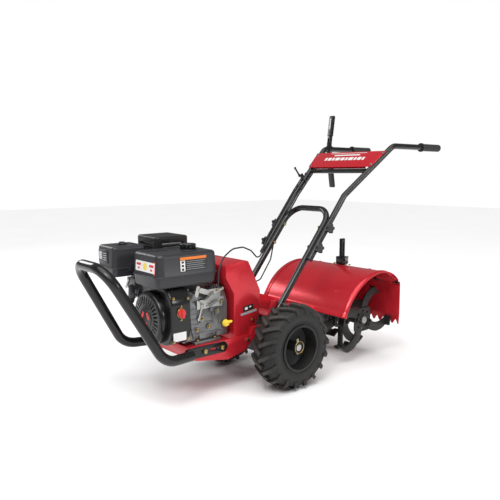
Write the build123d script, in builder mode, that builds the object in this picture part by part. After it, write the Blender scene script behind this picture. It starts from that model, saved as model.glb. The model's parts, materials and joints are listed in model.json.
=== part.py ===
"""Rear-tine tiller: engine in front, belt housing, worm case on two lugged wheels, hooded tines.

Millimetres, +Z up, the machine drives towards -Y and its own left side is +X. The origin is on
the ground under the middle of the machine. Lengths along Y are given from the wheel axle.
"""

import os
from math import atan2, cos, degrees, hypot, radians, sin

from build123d import *

# ---- overall sizes -------------------------------------------------------------------------
BUMPER_REACH = 712          # wheel axle to the bumper arch, forwards
BUMPER_R = 18
HANDLE_REACH = 955          # wheel axle to the grip ends, rearwards
AXLE_Y = (BUMPER_REACH + BUMPER_R - HANDLE_REACH) / 2

# ---- wheels --------------------------------------------------------------------------------
TYRE_R = 165
TYRE_WIDTH = 120
WHEEL_X = 205               # middle plane of each tyre
RIM_R = 84
LUG_HEIGHT = 15
LUG_COUNT = 18
AXLE_R = 12.5
HUB_R = 19

# ---- running fits and gaps -----------------------------------------------------------------
FIT = 0.05                  # radial clearance of a shaft in its bearing
GAP = 0.4                   # clearance between faces of bodies that move past each other

# ---- engine --------------------------------------------------------------------------------
CRANK_Z = 315
CRANK_R = 10
ENGINE_BASE_Z = 209         # foot of the crankcase
ENGINE_FRONT = AXLE_Y - 510
RECOIL_DEPTH = 32
RECOIL_R = 95
SHROUD_FRONT = ENGINE_FRONT + RECOIL_DEPTH
SHROUD_BACK = SHROUD_FRONT + 76
SHROUD_HALF = 118
CASE_FRONT = SHROUD_BACK + GAP
CASE_BACK = AXLE_Y - 207
FLYWHEEL_R = 80
CYLINDER_TILT = 25
TANK_LEFT = 100
TANK_RIGHT = -86
TANK_FRONT = AXLE_Y - 518
TANK_BACK = AXLE_Y - 262
TANK_LOW = 428
TANK_SEAM = 468
TANK_TOP = 546
TANK_WALL = 3
CAP_X = 20
CAP_Y = AXLE_Y - 343
CAP_R = 29
NECK_R = 20

# ---- belt drive ----------------------------------------------------------------------------
BELT_Y = AXLE_Y - 158       # middle plane of the belt
BELT_WIDTH = 13
BELT_DEPTH = 8
SMALL_PULLEY_R = 30
LARGE_PULLEY_R = 75
INPUT_Z = 190
INPUT_R = 10

# ---- chassis and transmission --------------------------------------------------------------
RAIL_IN = 100
RAIL_WALL = 6
COVER_HALF = RAIL_IN - GAP / 2
CASE_HALF = 48
CASE_R = 68
CASE_TOP = 260              # flat top of the worm case, under the frame's cross plate
TINE_Y = AXLE_Y + 450
TINE_Z = 188
TINE_SHAFT_R = 16
TINE_REACH = 166
TINE_FLANGES = (72, 186)
HOOD_MOUNT_Y = TINE_Y - 120 # pad on the worm case's tail that carries the hood's front
HOOD_MOUNT_Z = 224
HOOD_HALF = 256
HOOD_WALL = 2.5
FLAP_HINGE_Y = AXLE_Y + 617
FLAP_HINGE_Z = 340
STAKE_Y = AXLE_Y + 524
STAKE_TOP = 522
STAKE_WIDTH = 25
STAKE_THICK = 12
STAKE_TRAVEL = 75
CLAMP_Z = 428               # clamp screw of the depth stake
CLAMP_R = 3.5
CLEVIS_LOW = 403
CLEVIS_HALF = 19

# ---- handlebar -----------------------------------------------------------------------------
BAR_R = 12.5
BAR_WALL = 2
LEG_X = RAIL_IN + RAIL_WALL + BAR_R + GAP
BAR_X = LEG_X + 2 * BAR_R + GAP
FOOT_Y = AXLE_Y + 0
FOOT_Z = 276
ARCH_Y = AXLE_Y + 314
ARCH_Z = 669
BEND_Y = AXLE_Y + 360
BEND_Z = 727
TOP_X = 200
TOP_Y = AXLE_Y + 612
GRIP_X = 205
GRIP_Z = 938
GRIP_R = 16.5
GRIP_LENGTH = 138
GRIP_END = AXLE_Y + HANDLE_REACH
STUD_R = 4
KNOB_R = 21
KNOB_PLACES = (195, 256)    # along Y from the axle, on the handle's slope

# ---- levers on the right handle ------------------------------------------------------------
LEVER_Y = AXLE_Y + 645
LEVER_RISE = 27
LEVER_PIN_R = 4
LEVER_LENGTH = 137
LEVER_LEAN = 82
REVERSE_LENGTH = 162
REVERSE_LEAN = 80

os.makedirs("parts", exist_ok=True)


def finish(builder, label):
    """Label a finished piece and write its STEP file."""
    builder.part.label = label
    export_step(builder.part, f"parts/{label}.step")


def sweep_tube(points, bend, outer, wall):
    """Sweep a round tube along straight runs joined by bends of one radius."""
    with BuildLine() as route:
        FilletPolyline(*points, radius=bend)
    with BuildSketch(Plane(origin=route.line @ 0, z_dir=route.line % 0)) as section:
        Circle(outer)
        if wall:
            Circle(outer - wall, mode=Mode.SUBTRACT)
    sweep(section.sketch, path=route.line)


def rod(start, end, radius):
    """Add a straight round bar between two points."""
    run = Vector(*end) - Vector(*start)
    with BuildSketch(Plane(origin=start, z_dir=run)) as section:
        Circle(radius)
    extrude(section.sketch, amount=run.length)


def hole(start, end, radius):
    """Cut a straight round hole between two points."""
    run = Vector(*end) - Vector(*start)
    with BuildSketch(Plane(origin=start, z_dir=run)) as section:
        Circle(radius)
    extrude(section.sketch, amount=run.length, mode=Mode.SUBTRACT)


def block(low, high, mode=Mode.ADD):
    """Add or cut a box given by its lowest and highest corners."""
    middle_x = (low[0] + high[0]) / 2
    middle_y = (low[1] + high[1]) / 2
    with BuildSketch(Plane.XY.offset(low[2])) as base:
        with Locations((middle_x, middle_y)):
            Rectangle(high[0] - low[0], high[1] - low[1])
    extrude(base.sketch, amount=high[2] - low[2], mode=mode)


def bolt(point, direction, radius, length, grip):
    """Add a hexagon bolt: the head stands on the point, the shank runs into the work."""
    along = Vector(*direction)
    with BuildSketch(Plane(origin=point, z_dir=along)) as head:
        RegularPolygon(radius * 1.8, 6)
    extrude(head.sketch, amount=length)
    with BuildSketch(Plane(origin=point, z_dir=along * -1)) as shank:
        Circle(radius)
    extrude(shank.sketch, amount=grip)


def slope_z(y):
    """Height of the handle legs' middle line at a place along Y."""
    return FOOT_Z + (y - FOOT_Y) * (ARCH_Z - FOOT_Z) / (ARCH_Y - FOOT_Y)


AXLE_AXIS = Axis((0, AXLE_Y, TYRE_R), (1, 0, 0))
CRANK_AXIS = Axis((0, 0, CRANK_Z), (0, 1, 0))
INPUT_AXIS = Axis((0, 0, INPUT_Z), (0, 1, 0))
AXLE_PLANE = Plane(origin=(0, AXLE_Y, TYRE_R), x_dir=(1, 0, 0), z_dir=(0, -1, 0))
CRANK_PLANE = Plane(origin=(0, 0, CRANK_Z), x_dir=(0, 1, 0), z_dir=(1, 0, 0))
INPUT_PLANE = Plane(origin=(0, 0, INPUT_Z), x_dir=(0, 1, 0), z_dir=(1, 0, 0))

# ============================================================================ chassis frame
RAIL_OUTLINE = [
    (AXLE_Y - 402, 209), (AXLE_Y - 402, 166), (AXLE_Y - 369, 156), (AXLE_Y - 229, 132),
    (AXLE_Y - 147, 150), (AXLE_Y - 85, 205), (AXLE_Y + 236, 215), (AXLE_Y + 236, 262),
    (AXLE_Y + 120, 300), (AXLE_Y + 36, 322), (AXLE_Y - 6, 322), (AXLE_Y - 40, 236), (AXLE_Y - 110, 236),
    (AXLE_Y - 120, 209),
]
RAIL_OUT = RAIL_IN + RAIL_WALL
PLATE_BACK = AXLE_Y - 216
RAIL_BOLTS = ((AXLE_Y - 90, 220), (AXLE_Y - 134, 190))
FOOT_BOLTS = (AXLE_Y - 346.75, AXLE_Y - 271.25)
FOOT_BOLT_X = 81

with BuildPart() as chassis_frame:
    for side_x in (RAIL_IN, -RAIL_OUT):
        with BuildSketch(Plane.YZ.offset(side_x)):
            Polygon(*RAIL_OUTLINE, align=None)
        extrude(amount=RAIL_WALL)
    block((-RAIL_IN, AXLE_Y - 402, ENGINE_BASE_Z - 6), (RAIL_IN, PLATE_BACK, ENGINE_BASE_Z))
    block((-RAIL_IN, AXLE_Y - 402, 168), (RAIL_IN, AXLE_Y - 396, ENGINE_BASE_Z - 6))
    block((-RAIL_IN, AXLE_Y - 30, CASE_TOP), (RAIL_IN, AXLE_Y + 30, CASE_TOP + 6))
    for side_x in (1, -1):
        for foot_y in (FOOT_Y, FOOT_Y + 26):
            hole((side_x * 90, foot_y, slope_z(foot_y)), (side_x * 120, foot_y, slope_z(foot_y)), 4.5)
        for bolt_y, bolt_z in RAIL_BOLTS:
            hole((side_x * 90, bolt_y, bolt_z), (side_x * 120, bolt_y, bolt_z), 4.5)
    with BuildSketch(Plane.XY.offset(ENGINE_BASE_Z - 6)):
        with Locations(*[(side_x * FOOT_BOLT_X, place) for side_x in (1, -1) for place in FOOT_BOLTS]):
            Circle(4.2)
    extrude(amount=6, mode=Mode.SUBTRACT)
finish(chassis_frame, "chassis_frame")

# ============================================================================ transmission case
TAIL_START = AXLE_Y + 50
HUB_HALF = 25
with BuildPart() as gear_case:
    with BuildSketch(Plane.YZ.offset(-CASE_HALF)):
        with Locations((AXLE_Y, TYRE_R)):
            Circle(CASE_R)
        with Locations((AXLE_Y, CASE_TOP - 50)):
            Rectangle(112, 100)
    extrude(amount=2 * CASE_HALF)
    fillet(gear_case.edges().filter_by(Axis.X), 9)
    chamfer(gear_case.faces().filter_by(Axis.X).edges(), 4)
    rod((-92, AXLE_Y, TYRE_R), (92, AXLE_Y, TYRE_R), 31)
    rod((0, AXLE_Y - 104, INPUT_Z), (0, AXLE_Y, INPUT_Z), 33)
    with BuildSketch(Plane.XZ.offset(-TAIL_START)):
        with Locations((0, TYRE_R + 6)):
            Circle(44)
    with BuildSketch(Plane.XZ.offset(-TINE_Y)):
        with Locations((0, TINE_Z)):
            Circle(24)
    loft()
    rod((-HUB_HALF, TINE_Y, TINE_Z), (HUB_HALF, TINE_Y, TINE_Z), 50)
    for flange_y in (TAIL_START + 8, TINE_Y - 62):
        rod((0, flange_y, TYRE_R + 8), (0, flange_y + 12, TYRE_R + 9), 47)
    block((-20, HOOD_MOUNT_Y, TINE_Z), (20, HOOD_MOUNT_Y + 14, HOOD_MOUNT_Z))
    hole((-100, AXLE_Y, TYRE_R), (100, AXLE_Y, TYRE_R), AXLE_R + FIT)
    hole((0, AXLE_Y - 110, INPUT_Z), (0, AXLE_Y - 40, INPUT_Z), INPUT_R + FIT)
    hole((-60, TINE_Y, TINE_Z), (60, TINE_Y, TINE_Z), TINE_SHAFT_R + FIT)
finish(gear_case, "gear_case")

# ============================================================================ belt housing
COVER_OUTLINE = [
    (AXLE_Y - 232, 482), (AXLE_Y - 127, 495), (AXLE_Y - 104, 450), (AXLE_Y - 66, 373),
    (AXLE_Y - 72, 280), (AXLE_Y - 106, 205), (AXLE_Y - 147, 156), (AXLE_Y - 194, 150),
    (AXLE_Y - 194, 374), (AXLE_Y - 232, 440),
]
COVER_WALL = 2
with BuildPart() as belt_cover:
    with BuildSketch(Plane.YZ.offset(-COVER_HALF)):
        Polygon(*COVER_OUTLINE, align=None)
    extrude(amount=2 * COVER_HALF)
    fillet(belt_cover.edges().filter_by(Axis.X).group_by(Axis.Z)[-1], 12)
    with BuildSketch(Plane.YZ.offset(-COVER_HALF + COVER_WALL)):
        Polygon(*COVER_OUTLINE, align=None)
        offset(amount=-COVER_WALL, mode=Mode.REPLACE)
    extrude(amount=2 * (COVER_HALF - COVER_WALL), mode=Mode.SUBTRACT)
    hole((0, AXLE_Y - 240, CRANK_Z), (0, AXLE_Y - 180, CRANK_Z), 34)
    hole((0, AXLE_Y - 130, INPUT_Z), (0, AXLE_Y - 60, INPUT_Z), 36)
    block((-LARGE_PULLEY_R - 5, BELT_Y - 34, 110), (LARGE_PULLEY_R + 5, BELT_Y + 20, 170), Mode.SUBTRACT)
finish(belt_cover, "belt_cover")

# ============================================================================ bumper
BUMPER_POINTS = [
    (RAIL_OUT + 22, AXLE_Y - 404, 188), (147, AXLE_Y - 523, 191),
    (112, AXLE_Y - BUMPER_REACH, 520), (-112, AXLE_Y - BUMPER_REACH, 520),
    (-147, AXLE_Y - 523, 191), (-RAIL_OUT - 22, AXLE_Y - 404, 188),
]
with BuildPart() as bumper_tube:
    sweep_tube(BUMPER_POINTS, 80, BUMPER_R, 2)
finish(bumper_tube, "bumper_tube")

BRACKET_BOLTS = (AXLE_Y - 336, AXLE_Y - 260)
with BuildPart() as bumper_brackets:
    for side in (1, -1):
        near = side * RAIL_OUT
        far = side * (RAIL_OUT + 5)
        with BuildSketch(Plane.YZ.offset(min(near, far))):
            with Locations((AXLE_Y - 330, 187)):
                SlotOverall(190, 40)
            with Locations((AXLE_Y - 298, 187)):
                SlotOverall(30, 9, mode=Mode.SUBTRACT)
            with Locations(*[(place, 187) for place in BRACKET_BOLTS]):
                Circle(5.2, mode=Mode.SUBTRACT)
        extrude(amount=5)
finish(bumper_brackets, "bumper_brackets")

# ============================================================================ wheels
def make_rim(side, label):
    """Build one dished steel rim with its hub tube."""
    outer = side * (WHEEL_X + TYRE_WIDTH / 2 - 3)
    inner = side * (WHEEL_X - TYRE_WIDTH / 2 + 3)
    dish = side * (WHEEL_X - 18)
    with BuildPart() as rim:
        with BuildSketch(AXLE_PLANE):
            Polygon((inner, RIM_R - 3), (inner, RIM_R + 6), (inner + side * 3, RIM_R + 6),
                    (inner + side * 6, RIM_R), (outer - side * 6, RIM_R),
                    (outer - side * 3, RIM_R + 6), (outer, RIM_R + 6), (outer, RIM_R - 3),
                    align=None)
            Polygon((dish, AXLE_R), (dish + side * 4, AXLE_R), (dish + side * 4, 40),
                    (dish + side * 16, RIM_R - 2), (dish + side * 10, RIM_R - 2),
                    (dish, 44), align=None)
            Polygon((dish - side * 22, AXLE_R), (dish + side * 62, AXLE_R),
                    (dish + side * 62, HUB_R), (dish - side * 22, HUB_R), align=None)
        revolve(axis=AXLE_AXIS)
        pin_x = side * (WHEEL_X + 34)
        hole((pin_x, AXLE_Y, TYRE_R - 30), (pin_x, AXLE_Y, TYRE_R + 30), 4)
    finish(rim, label)


def make_tyre(side, label):
    """Build one tyre: a hollow carcass with two rows of slanted bar lugs."""
    half = TYRE_WIDTH / 2
    tread = TYRE_R - LUG_HEIGHT
    with BuildPart() as tyre:
        for row in (1, -1):
            for number in range(LUG_COUNT):
                turn = radians((number + 0.25 * row) * 360 / LUG_COUNT)
                out = (0, cos(turn), sin(turn))
                middle = (side * WHEEL_X, AXLE_Y, TYRE_R)
                lug_plane = Plane(origin=middle, x_dir=(1, 0, 0), z_dir=out)
                with BuildSketch(lug_plane.offset(tread - 22)):
                    with Locations(Location((row * 29, 0), row * 28)):
                        Rectangle(74, 13)
                extrude(amount=50)
        with BuildSketch(AXLE_PLANE):
            with BuildLine():
                Polyline((side * (WHEEL_X - half), tread - 20), (side * (WHEEL_X - half), TYRE_R - 14))
                ThreePointArc((side * (WHEEL_X - half), TYRE_R - 14), (side * WHEEL_X, TYRE_R),
                              (side * (WHEEL_X + half), TYRE_R - 14))
                Polyline((side * (WHEEL_X + half), TYRE_R - 14), (side * (WHEEL_X + half), tread - 20),
                         (side * (WHEEL_X - half), tread - 20))
            make_face()
        revolve(axis=AXLE_AXIS, mode=Mode.INTERSECT)
        with BuildSketch(AXLE_PLANE):
            with BuildLine():
                Polyline((side * (WHEEL_X + half - 8), RIM_R + 6), (side * (WHEEL_X + half - 8), 96))
                Spline((side * (WHEEL_X + half - 8), 96), (side * (WHEEL_X + half - 3), 122),
                       (side * (WHEEL_X + half - 9), tread - 6))
                ThreePointArc((side * (WHEEL_X + half - 9), tread - 6), (side * WHEEL_X, tread + 2),
                              (side * (WHEEL_X - half + 9), tread - 6))
                Spline((side * (WHEEL_X - half + 9), tread - 6), (side * (WHEEL_X - half + 3), 122),
                       (side * (WHEEL_X - half + 8), 96))
                Polyline((side * (WHEEL_X - half + 8), 96), (side * (WHEEL_X - half + 8), RIM_R + 6),
                         (side * (WHEEL_X + half - 8), RIM_R + 6))
            make_face()
        revolve(axis=AXLE_AXIS)
        with BuildSketch(AXLE_PLANE):
            with Locations((side * WHEEL_X, 114)):
                RectangleRounded(TYRE_WIDTH - 34, 44, 16)
        revolve(axis=AXLE_AXIS, mode=Mode.SUBTRACT)
        with BuildSketch(AXLE_PLANE):
            with Locations((side * WHEEL_X, RIM_R - 10)):
                Rectangle(TYRE_WIDTH - 16 - 14, 40)
        revolve(axis=AXLE_AXIS, mode=Mode.SUBTRACT)
    finish(tyre, label)


make_rim(1, "left_rim")
make_rim(-1, "right_rim")
make_tyre(1, "left_tyre")
make_tyre(-1, "right_tyre")

AXLE_HALF = WHEEL_X - 18 + 62
with BuildPart() as wheel_axle:
    rod((-AXLE_HALF, AXLE_Y, TYRE_R), (AXLE_HALF, AXLE_Y, TYRE_R), AXLE_R)
    for side in (1, -1):
        pin_x = side * (WHEEL_X + 34)
        rod((pin_x, AXLE_Y, TYRE_R - 27), (pin_x, AXLE_Y, TYRE_R + 27), 4)
        rod((pin_x, AXLE_Y, TYRE_R + HUB_R + 2), (pin_x, AXLE_Y, TYRE_R + 30), 6.5)
finish(wheel_axle, "wheel_axle")

# ============================================================================ tines
with BuildPart() as tine_shaft:
    rod((-TINE_FLANGES[1] - 14, TINE_Y, TINE_Z), (TINE_FLANGES[1] + 14, TINE_Y, TINE_Z), TINE_SHAFT_R)
    chamfer(tine_shaft.faces().filter_by(Axis.X).edges(), 1.5)
finish(tine_shaft, "tine_shaft")


def make_tine_hub(side, label):
    """Build one side's sleeve with two bolted flanges and four curved blades on each."""
    with BuildPart() as hub:
        start = side * (HUB_HALF + 4)
        rod((start, TINE_Y, TINE_Z), (side * (TINE_FLANGES[1] + 8), TINE_Y, TINE_Z), 23)
        for flange in TINE_FLANGES:
            with BuildSketch(Plane.YZ.offset(side * flange - 3)):
                with Locations((TINE_Y, TINE_Z)):
                    RectangleRounded(104, 104, 16)
                    with PolarLocations(42, 4, 45):
                        Circle(5.5, mode=Mode.SUBTRACT)
                    with PolarLocations(40, 4):
                        Circle(5.5, mode=Mode.SUBTRACT)
            extrude(amount=6)
            for number in range(4):
                turn = number * 90 + 20 + (45 if flange == TINE_FLANGES[1] else 0)
                out = (0, cos(radians(turn)), sin(radians(turn)))
                lean = 1 if number % 2 else -1
                face = side * flange + lean * 3
                blade = Plane(origin=(face, TINE_Y, TINE_Z), x_dir=out, z_dir=(lean, 0, 0))
                with BuildSketch(blade):
                    with BuildLine():
                        Line((30, -18), (30, 18))
                        ThreePointArc((30, 18), (98, 18), (TINE_REACH - 20, 66))
                        Line((TINE_REACH - 20, 66), (TINE_REACH - 8, 22))
                        ThreePointArc((TINE_REACH - 8, 22), (104, -22), (30, -18))
                    make_face()
                extrude(amount=7)
                with BuildSketch(blade.offset(3)):
                    with Locations((TINE_REACH - 16, 43)):
                        Rectangle(9, 44, rotation=15)
                extrude(amount=27)
        hole((0, TINE_Y, TINE_Z), (side * 260, TINE_Y, TINE_Z), TINE_SHAFT_R)
    finish(hub, label)


make_tine_hub(1, "left_tines")
make_tine_hub(-1, "right_tines")

# ============================================================================ tine hood and flap
HOOD_FRONT = (AXLE_Y + 261, 238)
HOOD_TOP = (AXLE_Y + 505, 401)
HOOD_BACK = (AXLE_Y + 608, 352)


def hood_profile():
    """Draw the hood's outer line from its front lip over the top to the flap hinge."""
    ThreePointArc(HOOD_FRONT, (AXLE_Y + 345, 348), HOOD_TOP)
    ThreePointArc(HOOD_TOP, (AXLE_Y + 562, 387), HOOD_BACK)


with BuildPart() as tine_hood:
    with BuildSketch(Plane.YZ.offset(-HOOD_HALF)):
        with BuildLine() as hood_line:
            hood_profile()
        trace(line_width=HOOD_WALL)
    extrude(amount=2 * HOOD_HALF)
    for rib in (-HOOD_HALF + 20, HOOD_HALF - 26):
        with BuildSketch(Plane.YZ.offset(rib)):
            with BuildLine() as rib_line:
                hood_profile()
            trace(line_width=9)
        extrude(amount=6)
    rod((-HOOD_HALF, *HOOD_FRONT), (HOOD_HALF, *HOOD_FRONT), 4)
    block((-20, HOOD_MOUNT_Y + 4, HOOD_MOUNT_Z), (20, HOOD_MOUNT_Y + 10, 340))
    block((-STAKE_WIDTH, STAKE_Y - 30, 300), (STAKE_WIDTH, STAKE_Y - 26, 401))
    block((-STAKE_THICK / 2 - GAP, STAKE_Y - STAKE_WIDTH / 2 - GAP, 380),
          (STAKE_THICK / 2 + GAP, STAKE_Y + STAKE_WIDTH / 2 + GAP, 420), mode=Mode.SUBTRACT)
finish(tine_hood, "tine_hood")

FLAP_LOW = 150
FLAP_TEETH = 15
FLAP_HALF = HOOD_HALF - 2
with BuildPart() as hood_flap:
    with BuildSketch(Plane.YZ.offset(-FLAP_HALF)):
        with BuildLine():
            Polyline((FLAP_HINGE_Y + 7, FLAP_HINGE_Z - 4), (FLAP_HINGE_Y + 9, 200),
                     (FLAP_HINGE_Y + 5, FLAP_LOW), (FLAP_HINGE_Y + 2.5, FLAP_LOW + 1),
                     (FLAP_HINGE_Y + 6.5, 200), (FLAP_HINGE_Y + 4.5, FLAP_HINGE_Z - 4), close=True)
        make_face()
    extrude(amount=2 * FLAP_HALF)
    pitch = 2 * FLAP_HALF / FLAP_TEETH
    with BuildSketch(Plane.XZ.offset(-FLAP_HINGE_Y - 20)):
        for number in range(FLAP_TEETH):
            left = -FLAP_HALF + number * pitch
            Polygon((left, FLAP_LOW - 5), (left + pitch, FLAP_LOW - 5), (left + pitch / 2, FLAP_LOW + 22),
                    align=None)
    extrude(amount=60, mode=Mode.SUBTRACT)
    for place in (-190, -60, 60, 190):
        rod((place - 22, FLAP_HINGE_Y, FLAP_HINGE_Z), (place + 22, FLAP_HINGE_Y, FLAP_HINGE_Z), 5)
        block((place - 22, FLAP_HINGE_Y, FLAP_HINGE_Z - 12), (place + 22, FLAP_HINGE_Y + 7, FLAP_HINGE_Z - 3))
    hole((-HOOD_HALF, FLAP_HINGE_Y, FLAP_HINGE_Z), (HOOD_HALF, FLAP_HINGE_Y, FLAP_HINGE_Z), 3 + FIT)
finish(hood_flap, "hood_flap")

with BuildPart() as hood_hinge:
    rod((-FLAP_HALF, FLAP_HINGE_Y, FLAP_HINGE_Z), (FLAP_HALF, FLAP_HINGE_Y, FLAP_HINGE_Z), 3)
    for place in (-245, -125, 0, 125, 245):
        rod((place - 9, FLAP_HINGE_Y, FLAP_HINGE_Z), (place + 9, FLAP_HINGE_Y, FLAP_HINGE_Z), 5)
        block((place - 9, HOOD_BACK[0] - 4, FLAP_HINGE_Z + 2), (place + 9, FLAP_HINGE_Y + 2, FLAP_HINGE_Z + 4.5))
finish(hood_hinge, "hood_hinge")

# ============================================================================ depth stake
with BuildPart() as depth_stake:
    block((-STAKE_THICK / 2, STAKE_Y - STAKE_WIDTH / 2, 14),
          (STAKE_THICK / 2, STAKE_Y + STAKE_WIDTH / 2, STAKE_TOP))
    slot_low = CLAMP_Z - CLAMP_R - GAP
    slot_high = CLAMP_Z + STAKE_TRAVEL + CLAMP_R + GAP
    with BuildSketch(Plane.YZ.offset(-STAKE_THICK / 2)):
        with Locations((STAKE_Y, (slot_low + slot_high) / 2)):
            SlotOverall(slot_high - slot_low, 2 * (CLAMP_R + GAP), rotation=90)
    extrude(amount=STAKE_THICK, mode=Mode.SUBTRACT)
    with BuildSketch(Plane.YZ.offset(-16)):
        with BuildLine():
            Polyline((STAKE_Y - 26, 14), (STAKE_Y - 26, 6), (STAKE_Y - 16, 0), (STAKE_Y + 40, 0),
                     (STAKE_Y + 56, 18), (STAKE_Y + 51, 22), (STAKE_Y + 37, 7), (STAKE_Y + 14, 14),
                     (STAKE_Y - 26, 14))
        make_face()
    extrude(amount=32)
finish(depth_stake, "depth_stake")

with BuildPart() as stake_clevis:
    block((-CLEVIS_HALF, STAKE_Y - 20, CLEVIS_LOW), (CLEVIS_HALF, STAKE_Y + 20, CLEVIS_LOW + 36))
    block((-STAKE_THICK / 2 - GAP, STAKE_Y - STAKE_WIDTH / 2 - GAP, CLEVIS_LOW - 5),
          (STAKE_THICK / 2 + GAP, STAKE_Y + STAKE_WIDTH / 2 + GAP, CLEVIS_LOW + 50), mode=Mode.SUBTRACT)
    hole((-30, STAKE_Y, CLAMP_Z), (30, STAKE_Y, CLAMP_Z), CLAMP_R + FIT)
finish(stake_clevis, "stake_clevis")

with BuildPart() as stake_screw:
    rod((-26, STAKE_Y, CLAMP_Z), (34, STAKE_Y, CLAMP_Z), CLAMP_R)
    rod((CLEVIS_HALF + GAP, STAKE_Y, CLAMP_Z), (CLEVIS_HALF + 8, STAKE_Y, CLAMP_Z), 8)
    rod((34, STAKE_Y, CLAMP_Z - 16), (34, STAKE_Y, CLAMP_Z + 16), 3.5)
finish(stake_screw, "stake_screw")

# ============================================================================ engine
DIP_AXIS = (cos(radians(35)), 0, sin(radians(35)))
DIP_POINT = (84, AXLE_Y - 230, 262)
DIP_PLANE = Plane(origin=DIP_POINT, x_dir=(0, 1, 0), z_dir=DIP_AXIS)
with BuildPart() as crankcase:
    tilt = radians(CYLINDER_TILT)
    deck = (-cos(tilt) * 74, CRANK_Z + sin(tilt) * 74)
    with BuildSketch(Plane.XZ.offset(-CASE_FRONT)):
        Polygon((-80, ENGINE_BASE_Z + 10), (80, ENGINE_BASE_Z + 10), (82, 345), (58, 402),
                (deck[0] + sin(tilt) * 58, deck[1] + cos(tilt) * 58),
                (deck[0] - sin(tilt) * 58, deck[1] - cos(tilt) * 58), align=None)
    extrude(amount=-(CASE_BACK - 7 - CASE_FRONT))
    fillet(crankcase.edges().filter_by(Axis.Y), 7)
    block((-92, AXLE_Y - 366, ENGINE_BASE_Z), (92, AXLE_Y - 252, ENGINE_BASE_Z + 11))
    block((-66, CASE_FRONT + 8, 228), (66, CASE_BACK - 18, CRANK_Z - 16), mode=Mode.SUBTRACT)
    block((-52, CASE_FRONT + 8, CRANK_Z + 16), (52, CASE_BACK - 18, 384), mode=Mode.SUBTRACT)
    rod((0, CASE_BACK - 8, CRANK_Z), (0, CASE_BACK, CRANK_Z), 66)
    rod((0, CASE_BACK - 8, CRANK_Z), (0, CASE_BACK + 6, CRANK_Z), 26)
    for rib_z in range(244, 340, 18):
        block((79, AXLE_Y - 385, rib_z), (84, AXLE_Y - 345, rib_z + 4))
    with BuildSketch(Plane.XZ.offset(-CASE_BACK)):
        with Locations((0, CRANK_Z)):
            with PolarLocations(56, 6, 20):
                Circle(8)
    extrude(amount=-3)
    for foot_x in (-FOOT_BOLT_X, FOOT_BOLT_X):
        for place in FOOT_BOLTS:
            hole((foot_x, place, ENGINE_BASE_Z + 11), (foot_x, place, ENGINE_BASE_Z + 30), 9.5)
            hole((foot_x, place, ENGINE_BASE_Z), (foot_x, place, ENGINE_BASE_Z + 12), 4.5)
    with BuildSketch(DIP_PLANE.offset(-12)):
        Circle(11)
    extrude(amount=19 - GAP)
    hole((0, CASE_FRONT - 5, CRANK_Z), (0, CASE_BACK + 10, CRANK_Z), CRANK_R + FIT)
finish(crankcase, "crankcase")

CYL_Y = AXLE_Y - 306
CYL_PLANE = Plane(origin=(0, CYL_Y, CRANK_Z), x_dir=(0, 1, 0),
                  z_dir=(-cos(radians(CYLINDER_TILT)), 0, sin(radians(CYLINDER_TILT))))
with BuildPart() as cylinder:
    with BuildSketch(CYL_PLANE.offset(74)):
        RectangleRounded(86, 86, 12)
    extrude(amount=98)
    for number in range(9):
        with BuildSketch(CYL_PLANE.offset(78 + number * 10)):
            RectangleRounded(112, 108, 10)
        extrude(amount=3.5)
    with BuildSketch(CYL_PLANE.offset(172)):
        RectangleRounded(78, 92, 14)
    extrude(amount=26)
    fillet(cylinder.faces().sort_by(Axis(CYL_PLANE.origin, CYL_PLANE.z_dir))[-1].edges(), 6)
finish(cylinder, "cylinder")

with BuildPart() as blower_housing:
    with BuildSketch(Plane.XZ.offset(-SHROUD_FRONT)):
        with Locations((0, 325)):
            RectangleRounded(2 * SHROUD_HALF, 206, 62)
    extrude(amount=-(SHROUD_BACK - SHROUD_FRONT))
    fillet(blower_housing.faces().sort_by(Axis.Y)[0].edges(), 6)
    hole((0, SHROUD_FRONT - 5, CRANK_Z), (0, SHROUD_BACK - 4, CRANK_Z), FLYWHEEL_R + 6)
    hole((0, SHROUD_FRONT, CRANK_Z), (0, SHROUD_BACK + 5, CRANK_Z), 30)
finish(blower_housing, "blower_housing")

POST_R = 8
with BuildPart() as recoil_cover:
    with BuildSketch(CRANK_PLANE):
        with BuildLine():
            Polyline((SHROUD_FRONT, RECOIL_R), (SHROUD_FRONT - 16, RECOIL_R))
            ThreePointArc((SHROUD_FRONT - 16, RECOIL_R), (SHROUD_FRONT - 25, RECOIL_R - 4),
                          (SHROUD_FRONT - 29, RECOIL_R - 14))
            Polyline((SHROUD_FRONT - 29, RECOIL_R - 14), (ENGINE_FRONT, 44), (ENGINE_FRONT, 0),
                     (ENGINE_FRONT + 26, 0), (ENGINE_FRONT + 26, POST_R), (ENGINE_FRONT + 3, POST_R),
                     (ENGINE_FRONT + 3, 44), (SHROUD_FRONT - 26, RECOIL_R - 14),
                     (SHROUD_FRONT - 22, RECOIL_R - 6), (SHROUD_FRONT - 16, RECOIL_R - 3),
                     (SHROUD_FRONT, RECOIL_R - 3), (SHROUD_FRONT, RECOIL_R))
        make_face()
    revolve(axis=CRANK_AXIS)
    with BuildSketch(Plane.XZ.offset(-ENGINE_FRONT + 5)):
        with Locations((0, CRANK_Z)):
            with PolarLocations(63, 30):
                SlotOverall(26, 5)
    extrude(amount=-22, mode=Mode.SUBTRACT)
    hole((-60, ENGINE_FRONT + 16, 371.7), (-140, ENGINE_FRONT + 16, 378.7), 4)
finish(recoil_cover, "recoil_cover")

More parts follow.
